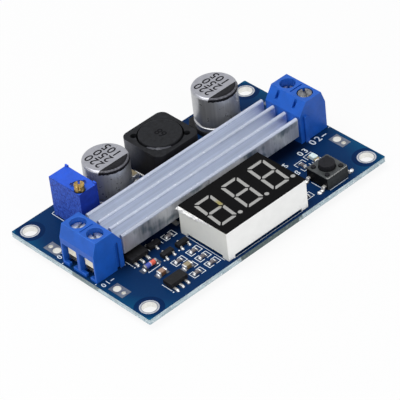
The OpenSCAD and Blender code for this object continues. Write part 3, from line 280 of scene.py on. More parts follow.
def resist(name, lift=0, inner=27, outer=38.8):
    """Navy solder resist over faint glass cloth, with a painted teal reflection between inner and outer mm
    from the board's middle and a painted near-black shadow beside the heatsink; lift makes it lighter."""
    middle, weave_scale = (-0.4, 0.7, 0), 330

    def shade(*rgb):
        return tuple(c + lift for c in rgb)

    f = Finish(name, spec=0.03)
    # Painted reflection: the resist turns teal from inner to outer mm away from the board's middle.
    outward = f.span(f.distance(middle), 0, 1, inner * MM, outer * MM)
    teal = f.ramp(outward, [(0, shade(12, 42, 83)), (0.5, shade(13, 49, 92)), (1, shade(12, 86, 124))])
    cloudy = f.mix(f.span(f.noise(6, 3), 0, 0.35), teal, shade(14, 52, 96))
    specked = f.mix(f.span(f.noise(0.35, 2), 0, 0.3, 0.62, 0.8), cloudy, shade(26, 70, 118))
    # Painted shadow: the resist goes near black in a band round the heatsink, fading out over fade mm.
    low, high = box("heatsink")
    heatsink_shadow_fades = []
    for k, axis, fade, shadow_darkness in ((0, "X", 4, 1), (1, "Y", 3.6, 0.75)):
        half = (high[k] - low[k]) / 2
        off = f.math("ABSOLUTE", f.math("SUBTRACT", f.axis(axis), (low[k] + half) * MM))
        heatsink_shadow_fades.append(f.span(off, shadow_darkness, 0, half * MM, (half + fade) * MM))
    f.colour(f.mix(f.math("MULTIPLY", *heatsink_shadow_fades), specked, (8, 14, 34)))
    f.rough(f.noise(2.5), 0.3, 0.42)
    weave = f.new("TexWave", {"Vector": f.coord, "Scale": weave_scale, "Distortion": 1.5}, wave_type="BANDS",
                  bands_direction="X")
    f.bump(weave.outputs["Fac"], 0.0015)
    f.bump(f.noise(0.8, 3), 0.003)
    return f.mat


def laminate():
    """Sawn edge of the glass-fibre board: pale chipped layers, dark where tabs were snapped off."""
    tabs = (("X", -9.6, 9.0, 1), ("Y", -6.4, 2.4, 0.7))  # axis, ends in mm, share that is dark
    tab_fade, tab_wander = 0.9, 1.6
    f = Finish("laminate", spec=0.2)
    layers = f.noise(0.5, 4, stretch=(9, 9, 0.45))
    pale = f.ramp(layers, [(LOW, (148, 172, 184)), (0.5, (184, 202, 208)),
                           (0.66, (222, 234, 238))])
    stained = f.mix(f.span(f.noise(2.5, 4), 0, 0.5, 0.52, 0.7), pale, (150, 156, 160))
    chipped = f.mix(f.span(f.noise(0.4, 2), 0, 0.75, 0.62, 0.7), stained, (96, 118, 132))
    sawn = f.mix(f.span(f.noise(0.55, 3), 0, 0.8, 0.6, 0.68), chipped, (240, 244, 246))
    ragged = f.noise(0.6, 4)
    snapped = f.ramp(ragged, [(LOW, (70, 84, 88)), (0.55, (96, 110, 110)),
                              (0.75, (138, 146, 146))])
    inside = []
    for axis, low, high, share in tabs:
        wander = f.span(f.noise(1.6, 4), -tab_wander * MM, tab_wander * MM)
        place = f.math("ADD", f.axis(axis), wander)
        start = f.span(place, 0, share, low * MM, (low + tab_fade) * MM)
        end = f.span(place, 1, 0, (high - tab_fade) * MM, high * MM)
        inside.append(f.math("MULTIPLY", start, end))
    f.colour(f.mix(f.math("MAXIMUM", *inside), sawn, snapped))
    f.rough(f.noise(0.6), 0.55, 0.85)
    f.bump(layers, 0.06)
    f.bump(ragged, 0.05)
    return f.mat


def extruded(name, light, metal, rough, nicked=0.68):
    """Bright aluminium with drawn lines along X, and nicks where a noise is above nicked."""
    f = Finish(name, metal, spec=0.4)
    lines = f.noise(0.3, 4, stretch=(160, 1, 1))
    smears = f.noise(1.1, 3, stretch=(30, 1, 1))
    base = f.ramp(smears, [(0.32, dim(light, 0.93)), (0.66, dim(light, 1.04))])
    tone = f.mix(f.span(lines, 0, 0.45), base, dim(light, 0.88))
    nicks = f.span(f.noise(0.3, 3, stretch=(2, 1, 1)), 0, 0.7, nicked, nicked + 0.1)
    f.colour(f.mix(nicks, tone, (244, 246, 252)))
    f.rough(smears, rough - 0.08, rough + 0.08)
    f.bump(lines, 0.004)
    f.bump(f.noise(1.8, 3), 0.012)
    return f.mat


def sawn_metal(name, light):
    """Sawn aluminium: upright smears, and dark blotches, more of them at high X."""
    f = Finish(name, metal=0.75, spec=0.4)
    lines = f.noise(0.3, 4, stretch=(1, 1, 60))
    smears = f.noise(2.6, 3, stretch=(1, 1, 4))
    base = f.ramp(smears, [(0.32, dim(light, 0.78)), (0.48, dim(light, 0.95)), (0.66, dim(light, 1.07))])
    tone = f.mix(f.span(lines, 0, 0.45), base, dim(light, 0.88))
    streaks = f.span(f.noise(0.9, 3, stretch=(1, 1, 9)), -0.07, 0.07)
    blotches = f.math("ADD", f.noise(6, 2, stretch=(1, 1, 0.7)), streaks)
    more = f.math("ADD", blotches, f.span(f.axis("X"), 0, 0.09, 8 * MM, 20 * MM))
    f.colour(f.mix(f.span(more, 0, 0.85, 0.5, 0.62), tone, (112, 128, 138)))
    f.rough(smears, 0.24, 0.4)
    f.bump(lines, 0.004)
    f.bump(f.noise(1.8, 3), 0.05)
    return f.mat


def drawn_can(top):
    """Deep-drawn aluminium: a satin top, and a brighter wall with fine upright lines."""
    f = Finish("can_aluminium", metal=0.7)
    lines = f.noise(0.3, 2, stretch=(1, 1, 60))
    wall = f.ramp(lines, [(LOW, (170, 171, 175)), (HIGH, (186, 187, 190))])
    satin = f.ramp(f.noise(1.5), [(LOW, (148, 149, 157)), (HIGH, (164, 165, 172))])
    f.colour(f.mix(f.span(f.axis("Z"), 0, 1, (top - 0.5) * MM, (top - 0.1) * MM), wall, satin))
    f.rough(f.noise(1.4), 0.26, 0.34)
    f.bump(f.noise(3, 2), 0.012)
    return f.mat


def cast_resin(stain_at):
    """Milky resin in the segments, with one yellowed spot."""
    f = Finish("cast_segments", spec=0.25)
    milky = f.ramp(f.noise(0.7), [(LOW, (153, 152, 150)), (HIGH, (167, 167, 164))])
    stain = f.span(f.distance(stain_at), 0.85, 0, 0.3 * MM, 1.6 * MM)
    f.colour(f.mix(stain, milky, (146, 134, 52)))
    f.rough(f.noise(0.5), 0.36, 0.5)
    f.bump(f.noise(0.2, 3), 0.004)
    return f.mat


def sandy(name, low, high, depth):
    """Moulded case with a rough, sandy skin."""
    f = Finish(name, spec=0.25)
    grains = f.noise(0.5, 5, 0.6)
    f.colour(f.ramp(grains, [(0.35, low), (0.62, high)]))
    f.rough(grains, 0.5, 0.72)
    f.bump(grains, depth)
    return f.mat


def two_colour_glass(low_x, high_x):
    """Tinted glass: blue at one end and orange-red at the other, with a pale line between them."""
    f = Finish("diode_glass", spec=0.4, coat=0.2, coat_rough=0.05)
    along = f.span(f.axis("X"), 0, 1, low_x * MM, high_x * MM)
    blue, red, pale = (44, 72, 172), (222, 84, 54), (214, 200, 206)
    bands = f.ramp(along, [(0.43, blue), (0.48, pale), (0.51, pale), (0.56, red)])
    f.colour(f.mix(f.span(f.noise(0.6), 0, 0.12), bands, (214, 190, 196)))
    f.rough(f.noise(0.5), 0.1, 0.22)
    return f.mat


def chip_ceramic(name, split_x, brown, olive):
    """Fired ceramic, brown on one side of split_x and olive on the other."""
    f = Finish(name, spec=0.3)
    right = f.span(f.axis("X"), 0, 1, (split_x - 0.1) * MM, (split_x + 0.1) * MM)
    fired = f.mix(right, brown, olive)
    f.colour(f.mix(f.span(f.noise(0.4), 0, 0.35), fired, (112, 82, 62)))
    f.rough(f.noise(0.5), 0.32, 0.48)
    f.bump(f.noise(0.1, 3), 0.004)
    return f.mat


def choke_sides_painted_light(corner):
    """Sides of the choke: a painted highlight round one upper corner, fading to near-black painted shade far
    from it.
    """
    reach = 8
    f = Finish("ferrite_painted_light", spec=0.14)
    tone = f.ramp(f.span(f.distance(corner), 0, 1, 0, reach * MM), [
        (0, (140, 141, 148)), (0.24, (118, 119, 126)), (0.5, (90, 91, 98)),
        (0.66, (60, 63, 72)), (0.9, (28, 30, 40)), (1, (25, 25, 28))])
    f.colour(f.mix(f.span(f.noise(1.2), 0, 0.3), tone, (40, 40, 44)))
    f.rough(f.noise(0.8), 0.45, 0.62)
    f.bump(f.noise(0.18, 3), 0.01)
    return f.mat


def cover_edge_highlight(front):
    """Edge of the button's cover: dark grey, with a patchy painted highlight along its front."""
    f = Finish("cover_edge_highlight", metal=0.5)
    # Painted highlight: the front strip of the edge is pale and patchy instead of dark grey.
    bare = f.span(f.axis("Y"), 1, 0, (front + 0.1) * MM, (front + 0.5) * MM)
    patchy_highlight = f.ramp(f.noise(0.7), [(LOW, (184, 184, 184)), (HIGH, (232, 232, 230))])
    f.colour(f.mix(bare, (76, 79, 80), patchy_highlight))
    f.rough(f.noise(0.5), 0.28, 0.42)
    return f.mat


# Building shapes in millimetres

def circle(x, y, r, n):
    return [(x + r * math.cos(i * math.tau / n), y + r * math.sin(i * math.tau / n)) for i in range(n)]


def ring_faces(a, b, n):
    """Faces between two rings of n points, which start at the points a and b."""
    return [(a + i, a + (i + 1) % n, b + (i + 1) % n, b + i) for i in range(n)]


class Shape:
    """Points in mm and faces, gathered until build makes a piece of them."""

    def __init__(self):
        self.verts, self.faces = [], []

    def add(self, verts, faces):
        n = len(self.verts)
        self.verts += verts
        self.faces += [tuple(i + n for i in f) for f in faces]

    def prism(self, outline, z0, z1):
        n = len(outline)
        self.add([(x, y, z) for z in (z0, z1) for x, y in outline],
                 [tuple(range(n))[::-1], tuple(range(n, 2 * n))] + ring_faces(0, n, n))

    def stroke(self, points, w, z0, z1):
        """Line of width w through points, with square ends."""
        for (ax, ay), (bx, by) in zip(points, points[1:]):
            d = math.hypot(bx - ax, by - ay)
            ux, uy = (bx - ax) / d * w / 2, (by - ay) / d * w / 2
            self.prism([(ax - ux + uy, ay - uy - ux), (bx + ux + uy, by + uy - ux),
                        (bx + ux - uy, by + uy + ux), (ax - ux - uy, ay - uy + ux)], z0, z1)

    def disc(self, x, y, r, z0, z1, n=28):
        self.prism(circle(x, y, r, n), z0, z1)

    def tube(self, x, y, r0, r1, z0, z1, n):
        """Ring between radius r0 and r1."""
        self.add([(*p, z) for r, z in ((r0, z0), (r1, z0), (r1, z1), (r0, z1)) for p in circle(x, y, r, n)],
                 [face for k in range(4) for face in ring_faces(k * n, (k + 1) % 4 * n, n)])

    def dome(self, x, y, z, rx, ry, h, rough=0.25):
        """Uneven blob: half of an ellipsoid on a flat foot."""
        n, rings = 18, 5
        verts, faces = [], []
        for k in range(rings):
            a = k / rings * math.pi / 2
            for i in range(n):
                b = i * math.tau / n
                place = Vector((x * 3 + math.cos(b), y * 3 + math.sin(b), k * 0.4))
                wave = 1 + rough * noise.noise(place)
                verts.append((x + rx * wave * math.cos(a) * math.cos(b),
                              y + ry * wave * math.cos(a) * math.sin(b), z + h * math.sin(a)))
        verts.append((x, y, z + h))
        for k in range(rings - 1):
            faces += ring_faces(k * n, (k + 1) * n, n)
        last = (rings - 1) * n
        faces += [(last + i, last + (i + 1) % n, rings * n) for i in range(n)]
        faces.append(tuple(range(n))[::-1])
        self.add(verts, faces)

    def figures(self, text, x, y, size, turn, z0, z1, flip=False, spacing=1.0):
        """Plain figures, size mm high, centred on x and y, and mirrored for a face seen from below."""
        em_per_height, boldness = 1.42, 0.02
        curve = bpy.data.curves.new("figures", "FONT")
        curve.body = text
        curve.align_x, curve.align_y = "CENTER", "CENTER"
        curve.size = size * em_per_height
        curve.extrude = 0.5
        curve.space_character = spacing
        curve.offset = size * boldness
        curve.resolution_u = 4
        obj = bpy.data.objects.new("figures", curve)
        bpy.context.scene.collection.objects.link(obj)
        mesh = obj.evaluated_get(bpy.context.evaluated_depsgraph_get()).to_mesh()
        c, s = math.cos(math.radians(turn)), math.sin(math.radians(turn))
        m, back, front = (-1, z1, z0) if flip else (1, z0, z1)
        self.add([(x + m * v.co.x * c - v.co.y * s, y + m * v.co.x * s + v.co.y * c,
                   front if v.co.z > 0 else back) for v in mesh.vertices],
                 [tuple(p.vertices) for p in mesh.polygons])
        bpy.data.objects.remove(obj)
        bpy.data.curves.remove(curve)

    def build(self, name, mat, slot, smooth=35):
        mesh = bpy.data.meshes.new(name)
        mesh.from_pydata([Vector(v) * MM for v in self.verts], [], self.faces)
        place(name, mesh, mat, slot, smooth=smooth)


def place(name, mesh, mat, slot, body="board", smooth=35):
    """Piece that rides on body. Edges of more than smooth degrees are sharp, and 0 is flat shading."""
    mesh.materials.clear()
    mesh.materials.append(mat)
    if smooth:
        mesh.shade_smooth()
        mesh.set_sharp_from_angle(angle=math.radians(smooth))
    else:
        mesh.shade_flat()
    obj = bpy.data.objects.new(name, mesh)
    bpy.context.scene.collection.objects.link(obj)
    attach(obj, body)
    return obj


def to_mesh(bm, name):
    """Mesh of a bmesh, which is freed."""
    mesh = bpy.data.meshes.new(name)
    bm.to_mesh(mesh)
    bm.free()
    return mesh


def welded(node):
    """Mesh of a CAD node with its points joined."""
    bm = bmesh.new()
    bm.from_mesh(nodes[node].data)
    bmesh.ops.remove_doubles(bm, verts=bm.verts, dist=MERGE)
    return bm


def merged(node):
    """Mesh of a CAD node with each flat face as one polygon."""
    bm = welded(node)
    bmesh.ops.dissolve_limit(bm, angle_limit=math.radians(0.5), verts=bm.verts, edges=bm.edges)
    return bm


def skin(node, mat, width, segments, slot, angle=32, other=(), rim=None):
    """Stands in for a CAD node: the same solid with its sharp edges broken by width mm.

    Each pair in other is a material and a test, on normal and centre in mm, for the faces that take it.
    Broken edges take the material rim."""
    mesh = to_mesh(merged(node), node + "_skin")
    obj = place(node + "_skin", mesh, mat, slot, nodes[node]["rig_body"], angle)
    for i, (extra, test) in enumerate(other):
        mesh.materials.append(extra)
        for p in mesh.polygons:
            if test(p.normal, p.center / MM):
                p.material_index = i + 1
    edge = obj.modifiers.new("edges", "BEVEL")
    edge.width = width * MM
    edge.segments = segments
    edge.limit_method = "ANGLE"
    edge.angle_limit = math.radians(angle)
    edge.miter_outer = "MITER_ARC"
    if rim:
        mesh.materials.append(rim)
        edge.material = len(mesh.materials) - 1
    even = obj.modifiers.new("normals", "WEIGHTED_NORMAL")
    even.keep_sharp = True
    even.weight = 80
    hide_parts(node)
    return obj


def dress(mat, *names):
    """Gives CAD nodes a finish and leaves their shape."""
    for name in names:
        slots = nodes[name].data.materials
        for i in range(len(slots)):
            slots[i] = mat
        if not len(slots):
            slots.append(mat)


def box(node):
    """Lowest and highest corner of a CAD node, in mm."""
    low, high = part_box(node)
    return low / MM, high / MM


def centre(node):
    """Middle of a CAD node's box, in mm."""
    low, high = box(node)
    return (low + high) / 2


def islands(node):
    """Box of each separate solid of a CAD node, in mm."""
    bm = welded(node)
    left, found = set(bm.verts), []
    while left:
        stack, group = [left.pop()], []
        while stack:
            v = stack.pop()
            group.append(v.co / MM)
            for e in v.link_edges:
                other = e.other_vert(v)
                if other in left:
                    left.remove(other)
                    stack.append(other)
        found.append([Vector([pick(values) for values in zip(*group)]) for pick in (min, max)])
    bm.free()
    return sorted(found, key=lambda corners: [round(v, 3) for v in corners[0]])


def clamp(value, low, high):
    return max(low, min(high, value))


# Finishes of the board and its metal

RESIST = resist("solder_resist")
COVERED = resist("resist_over_copper", lift=24)
HALO = resist("bare_halo", lift=-8, inner=34, outer=40.5)
LAMINATE = laminate()
SILK = plain("silkscreen", (226, 234, 240), 0.6, vary=0.06, grain=0.15, depth=0.004)
TIN = plain("tinned_copper", (178, 182, 190), 0.4, metal=0.8, size=0.7, grain=0.25)
RIM = plain("dull_rim", (140, 143, 152), 0.42, metal=0.5, size=0.7, grain=0.25)
PAD = plain("dull_pad", (104, 110, 124), 0.45, metal=0.3, size=0.9, grain=0.25)
LAND_TIN = plain("dull_land", (74, 80, 94), 0.4, metal=0.4, vary=0.12, size=0.6, grain=0.25)
BARREL = plain("plated_barrel", (236, 235, 230), 0.25, metal=1, vary=0.03, size=0.8, grain=0.3, depth=0.003)
SOLDER = plain("solder", (214, 214, 214), 0.26, metal=0.6, vary=0.06, size=0.5, grain=0.3, depth=0.008)
LEADS = plain("tinned_leads", (216, 215, 211), 0.32, metal=0.6, vary=0.08, size=0.5, grain=0.15, depth=0.005)

# Finishes of the terminals and trimmer

BLUE = plain("terminal_plastic", (27, 88, 184), 0.4, vary=0.05, size=2.2, depth=0.004)
# Painted highlight: a lighter blue on the terminals' broken edges.
BLUE_EDGE_HIGHLIGHT = plain("terminal_edge_highlight", (40, 102, 196), 0.4, vary=0.08, size=1.2, depth=0.004)
PLATED = plain("plated_steel", (198, 202, 208), 0.27, metal=0.9, vary=0.12, size=0.7, grain=0.9, depth=0.009)
TARNISHED = plain("tarnished_steel", (112, 113, 116), 0.3, metal=0.8, vary=0.25, size=0.6, grain=0.9,
                  depth=0.009)
CREAM = plain("tinned_guard", (238, 231, 212), 0.5, metal=0.3, vary=0.04, size=0.9)
CAGE = plain("plated_cage", (188, 180, 158), 0.36, metal=1, size=0.8, depth=0.005)
TRIMMER = sandy("trimmer_sides", (22, 50, 146), (62, 102, 208), 0.08)
# Painted shade: a darker blue for the trimmer's front face.
TRIMMER_SHADED_FRONT = plain("trimmer_shaded_front", (28, 56, 158), 0.5, vary=0.08, size=1.2, grain=0.3, depth=0.008,
                      spec=0.15)
TRIMMER_TOP = plain("trimmer_top", (34, 85, 207), 0.45, vary=0.05, size=1.5, grain=0.3, depth=0.004)
BRASS = plain("brass", (168, 140, 84), 0.25, metal=1, vary=0.2, size=0.5, grain=0.3, depth=0.002)
NAVY_INK = plain("navy_ink", (14, 26, 84), 0.5, vary=0.2, grain=0.18, depth=0.004, spec=0.15)

# Finishes of the capacitors, choke and heatsink

CAN = drawn_can(box("input_capacitor_can")[1].z)
INK = plain("black_ink", (25, 25, 29), 0.5, vary=0.25, size=0.5, grain=0.18, spec=0.06)
# Painted sheen: greyer ink where the black segment turns over a can's rolled rim.
INK_RIM_SHEEN = plain("ink_rim_sheen", (84, 84, 90), 0.42, vary=0.35, size=0.5, grain=0.18, spec=0.2)
BLACK = plain("black_moulding", (27, 27, 29), 0.5, vary=0.16, size=0.8, grain=0.1, spec=0.12)
FERRITE = plain("ferrite", (30, 31, 34), 0.6, vary=0.2, size=1.0, grain=0.18, depth=0.02, spec=0.1)
RESIN = plain("choke_resin", (60, 61, 68), 0.32, vary=0.2, size=0.6, grain=0.3, depth=0.02, spec=0.35)
FERRITE_INK = plain("ferrite_ink", (18, 18, 21), 0.6, vary=0.25, grain=0.18, depth=0.004, spec=0.03)
COPPER = plain("enamelled_wire", (172, 92, 44), 0.35, metal=1, vary=0.15, depth=0.02)
ALUMINIUM = extruded("heatsink_aluminium", (227, 232, 242), 1.0, 0.42)
SAWN = sawn_metal("heatsink_ends", (216, 218, 223))
FIN_TOPS = extruded("heatsink_fin_tops", (184, 191, 208), 0.6, 0.62, nicked=0.62)
NICKED = extruded("nicked_edges", (184, 191, 209), 0.6, 0.62, nicked=0.57)
THERMAL = plain("thermal_pad", (214, 214, 208), 0.8, vary=0.05, size=0.7, depth=0.02)

# Finishes of the display, button and small parts

WHITE = plain("display_plastic", (251, 251, 249), 0.42, vary=0.01, size=2, grain=0.4, depth=0.002)
# Painted shade: a greyer white for the display's left wall.
WHITE_SHADED_SIDE = plain("display_shaded_side", (230, 230, 223), 0.42, vary=0.01, size=2, grain=0.4, depth=0.002)
FACE = plain("display_ink", (11, 11, 12), 0.5, vary=0.12, size=1.5, grain=0.1, depth=0.003, spec=0.03)
SEGMENT = cast_resin((-5.2, -12.2, 8.4))
GREEN = plain("carrier_board", (40, 110, 62), 0.4, size=1.5, grain=0.3, depth=0.004)
COVER = plain("button_cover", (70, 73, 74), 0.42, metal=0.2, size=0.8, grain=0.12, spec=0.3)
BUTTON = plain("button_plastic", (52, 55, 57), 0.48, vary=0.12, size=0.8, grain=0.12, spec=0.04)
# Painted shade: near black for the left side of the button's base.
BUTTON_SHADED_SIDE = plain("button_shaded_side", (18, 19, 21), 0.5, vary=0.12, size=0.8, grain=0.12, spec=0.04)
PLUNGER = plain("plunger_plastic", (29, 29, 33), 0.5, vary=0.12, size=0.7, grain=0.12, spec=0.1)
RESISTOR = plain("resistor_glaze", (108, 103, 106), 0.35, vary=0.2, grain=0.1, depth=0.005)
CAPS = plain("diode_caps", (150, 150, 152), 0.32, metal=0.85, vary=0.12)
LENS = plain("lamp_lens", (226, 243, 240), 0.22, vary=0.05, depth=0.003, coat=0.4)
GOLD = plain("lamp_ends", (214, 190, 128), 0.32, metal=1, vary=0.08, grain=0.15, depth=0.004)

# Heights on the board, in mm

pcb_low, pcb_high = box("pcb")
BOTTOM, TOP = pcb_low.z, pcb_high.z
LAND = box("solder_lands")[1].z
FILM = 0.02  # solder resist
PRINT = 0.012  # ink
SUNK = 0.004  # how far ink and thin copper sink into what carries them
STEP = 0.001  # stretches of a line differ by this in height, so that no two faces coincide
LINE = 0.145  # usual width of a printed line


def print_heights(under=False, lift=0.0):
    """Lowest and highest point of print on the board's top or underside."""
    if under:
        return BOTTOM - FILM - PRINT - lift, BOTTOM - FILM + SUNK
    return TOP + FILM - SUNK, TOP + FILM + PRINT + lift


# Board

def film(name, base, face, up):
    """Film of resist between the heights base and face, with the board's outline and holes."""
    bm = merged("pcb")
    bmesh.ops.delete(bm, geom=[f for f in bm.faces if f.normal.z * up < FACING], context="FACES")
    bmesh.ops.delete(bm, geom=[v for v in bm.verts if not v.link_faces], context="VERTS")
    copy = bmesh.ops.extrude_face_region(bm, geom=bm.faces[:])
    moved = {v for v in copy["geom"] if isinstance(v, bmesh.types.BMVert)}
    for v in bm.verts:
        v.co.z = (face if v in moved else base) * MM
    bmesh.ops.recalc_face_normals(bm, faces=bm.faces)
    place(name, to_mesh(bm, name), RESIST, "board")


def make_board():
    """Sawn laminate with a film of resist on both faces, and tinned metal."""
    film("resist_top", TOP, TOP + FILM, 1)
    film("resist_bottom", BOTTOM, BOTTOM - FILM, -1)
    dress(LAMINATE, "pcb")
    dress(TIN, "mounting_rings")
    dress(PAD, "wire_pads")
    dress(LAND_TIN, "solder_lands")
    dress(SOLDER, "solder_joints")


def make_holes():
    """Plated barrels of the holes, and a dull rim and a bare ring round each mounting hole."""
    plating, proud, sides = 0.04, 0.04, 64
    rim_in, rim_out, rim_t, rim_gap = 0.03, 0.21, 0.04, 0.005
    halo_r, halo_t, halo_sunk, margin = 3.15, 0.008, 0.002, 0.1
    small_r, small_y, wire_in, wire_out, wire_up, wire_sides = 0.5, 11.07, 0.035, 0.002, 0.045, 40
    pattern = mounts["mounting_holes"]["dims"]
    hole_r, hole_x, hole_y = pattern["hole_r_mm"], pattern["spacing_x_mm"] / 2, pattern["spacing_y_mm"] / 2
    ring_r = box("mounting_rings")[1].x - hole_x
    barrels, rims, halos = Shape(), Shape(), Shape()
    for x, y in ((sx * hole_x, sy * hole_y) for sx in (-1, 1) for sy in (-1, 1)):
        barrels.tube(x, y, hole_r - plating, hole_r, BOTTOM - proud, TOP + proud, sides)
        for z in (BOTTOM - rim_gap - rim_t, TOP + rim_gap):
            rims.tube(x, y, hole_r - rim_in, hole_r + rim_out, z, z + rim_t, sides)
        for z in (BOTTOM - FILM + halo_sunk - halo_t, TOP + FILM - halo_sunk):
            halos.tube(x, y, ring_r + 0.01, halo_r, z, z + halo_t, sides)
    halos.verts = [(clamp(x, pcb_low.x + margin, pcb_high.x - margin),
                    clamp(y, pcb_low.y + margin, pcb_high.y - margin), z) for x, y, z in halos.verts]
    for mount in (m for name, m in mounts.items() if name.endswith("_wire_hole")):
        x, y = mount["pos_m"][0] / MM, mount["pos_m"][1] / MM
        for r, at in ((mount["dims"]["r_mm"], y), (small_r, math.copysign(small_y, y))):
            barrels.tube(x, at, r - wire_in, r - wire_out, BOTTOM - wire_up, TOP + wire_up, wire_sides)
    barrels.build("plated_barrels", BARREL, "tin")
    rims.build("hole_rims", RIM, "tin")
    halos.build("hole_halos", HALO, "board")


class BoardPrint(Shape):
    """Printed lines, signs and plain numbers on the board's faces."""

    def draw(self, *points, w=LINE, under=False):
        for i, ends in enumerate(zip(points, points[1:])):
            self.stroke(ends, w, *print_heights(under, STEP * (i % 3)))

    def chip_box(self, x, y, w=3.0, h=1.75, gap=0.8):
        """Outline round a chip, open in the middle of its long sides."""
        for s in (-1, 1):
            self.draw((x + s * gap / 2, y + h / 2), (x + s * w / 2, y + h / 2),
                      (x + s * w / 2, y - h / 2), (x + s * gap / 2, y - h / 2))

    def signs(self, text, x, y, size=1.1, w=LINE, under=False):
        """A row of plain figures and the signs + and -, centred on x and y."""
        step, arm = size * 0.95, size * 0.3
        for i, c in enumerate(text):
            at = x + (i - (len(text) - 1) / 2) * step * (-1 if under else 1)
            if c in "+-":
                self.draw((at - arm, y), (at + arm, y), w=w, under=under)
            if c == "+":
                self.draw((at, y - arm), (at, y + arm), w=w, under=under)
            if c.isdigit():
                self.figures(c, at, y, size, 0, *print_heights(under), flip=under)


def print_board():
    """Boxes and marks round the parts, pin marks, signs and plain numbers."""
    silk = BoardPrint()
    for x, y in ((-13.3, -4.9), (-13.3, -12.35), (-13.36, -15.05), (-13.36, -17.76), (-17.45, -12.37),
                 (-17.48, -17.78)):
        silk.chip_box(x, y)
    for points in (
            ((13, -16.87), (14.95, -16.87), (14.95, -18.56), (13, -18.56)),
            ((-23.66, -10.15), (-23.79, -10.35), (-20.89, -10.35), (-20.6, -10.15)),
            ((-24.62, -15.17), (-24.62, -17.96)), ((-24.62, -4.29), (-24.62, -6.48)),
            ((-19.1, -5.52), (-19.1, -4.6)), ((-15.7, -5.72), (-15.7, -4.6)),
            ((-15.72, -14.4), (-15.72, -16.1), (-16.7, -16.1)), ((-26.4, -4.88), (-25.3, -4.88)),
            ((-24.15, 19), (-24.15, 8.6), (-18.85, 8.6), (-18.85, 19), (-24.15, 19)),
            ((-33.35, -4.87), (-33.1, -4.87)), ((-33.35, 5.2), (-33.1, 5.2)),
            ((33.35, -4.87), (33.1, -4.87)), ((33.35, 5.2), (33.1, 5.2)),
            ((22.4, -9.3), (22.4, -7.9), (24.6, -7.9), (24.6, -9.3)),
            ((22.4, -10.6), (22.4, -11.65), (24.6, -11.65), (24.6, -10.6)),
            ((19.25, -10.35), (19.25, -11.45), (21.65, -11.45), (21.65, -10.35)),
            ((19.25, -9.45), (19.25, -8.35), (21.65, -8.35), (21.65, -9.45)),
            ((17.5, -15.2), (17.5, -18.2)), ((18.2, -19.92), (23.4, -19.92)),
            ((18.2, -13.48), (23.4, -13.48)), ((24.1, -15.2), (24.1, -18.2)),
            ((11.75, -7.9), (11.75, -13.2))):
        silk.draw(*points)
    silk.draw((-11.17, -7.9), (-11.3, -19.2), w=0.1)
    silk.draw((-9.6, -20.29), (9.7, -20.29), w=0.08)
    for x, y in ((-24.63, -7.06), (-19.25, -10.05), (-15.2, -10), (-24.68, -18.49)):
        silk.disc(x, y, 0.17, *print_heights())
    silk.signs("01-", -31.2, -6.3, 1.2, 0.22)
    silk.signs("01+", -31.2, 7.1, 1.2, 0.22)
    silk.signs("02-", 28.9, -6, 1.75, 0.3)
    silk.signs("02+", 28.9, 7.2, 1.75, 0.3)
    silk.signs("03", 23.53, -6.7, 1.5, 0.24)
    for y, figures in ((-7, "04"), (-10.6, "05")):
        silk.figures(figures, 17.85, y, 1.1, 90, *print_heights())
    for y, mark in ((-6.4, "-"), (6.4, "+")):
        silk.signs("1" + mark, -29.8, y, under=True)
        silk.signs("2" + mark, 29.8, y, under=True)
    for x0, x1, y0, y1 in ((-33.2, -25.2, -5, 5.4), (25.2, 33.2, -5, 5.4), (-10.9, 11.3, -20.1, -6.3),
                           (-23.9, -19.1, 8.9, 18.4)):
        silk.draw((x0, y0), (x1, y0), (x1, y1), (x0, y1), (x0, y0), under=True)
    silk.build("board_print", SILK, "board", smooth=0)


def make_underside():
    """Copper under the resist, and the rings of the vias that join the two faces."""
    copper_t, power, feed, signal = 0.03, 4, 2.2, 0.4
    via_r0, via_r1, via_t, fill_t, via_sides = 0.17, 0.34, 0.02, 0.008, 20
    face = BOTTOM - FILM
    copper = Shape()
    for w, points in (
            (power, ((-29.75, 2.64), (-24, 2.64), (-8, 4.2), (-2.1, 13.6))),
            (feed, ((-31.2, 6.9), (-31, 6), (-29.75, 2.64))),
            (power, ((29.75, 3.04), (23, 3.04), (14, 4.2), (18.8, 17.8))),
            (feed, ((31.2, 6.9), (31, 6), (29.75, 3.04))),
            (signal, ((-6.1, -8.14), (-6.1, -5.6), (-13.5, -5.6), (-13.5, -12.4))),
            (signal, ((-3.6, -8.14), (-3.6, -4.9), (-16.5, -4.9), (-17.4, -8.1))),
            (signal, ((-1.07, -18.3), (-1.07, -15.8), (-12.7, -15.8))),
            (signal, ((1.47, -18.3), (1.47, -14.9), (-11.5, -14.9), (-12.7, -15.1))),
            (signal, ((4.01, -8.14), (4.01, -5.2), (10.2, -5.2), (16.5, -14.4))),
            (signal, ((6.55, -18.3), (6.55, -16.2), (12.3, -16.2), (16.5, -18.9))),
            (signal, ((-21.5, 11.07), (-17.4, 11.07), (-16.5, 3.2))),
            (signal, ((-21.5, 13.61), (-14.9, 13.61), (-15.6, 3.2)))):
        for i, ends in enumerate(zip(points, points[1:])):
            copper.stroke(ends, w, face - copper_t - STEP * (i % 3), face + SUNK)
    copper.build("underside_copper", COVERED, "board")
    single = [(-11.5, -14.9), (-12.7, -15.8), (-13.5, -12.4), (-17.4, -8.1), (16.5, -14.4), (12.3, -16.2),
              (-27.4, -8.4), (-27.4, 8.3), (27.2, 8.4), (26.9, -12.6), (-26.2, -16.4), (-26.3, 12.4),
              (10.6, 17.2), (11.4, 10.2), (26.3, 13.6), (-15.6, 3.2), (-16.5, 3.2)]
    under_packages = [(x + 1.4 * i, y) for x in (-9.6, 11.9) for i in range(4) for y in (7, 8.3)]
    vias = Shape()
    for x, y in single + under_packages:
        vias.tube(x, y, via_r0, via_r1, face - via_t, face + SUNK, via_sides)
        vias.disc(x, y, via_r0 + 0.01, face - fill_t, face, via_sides)
    vias.build("via_rings", TIN, "tin")


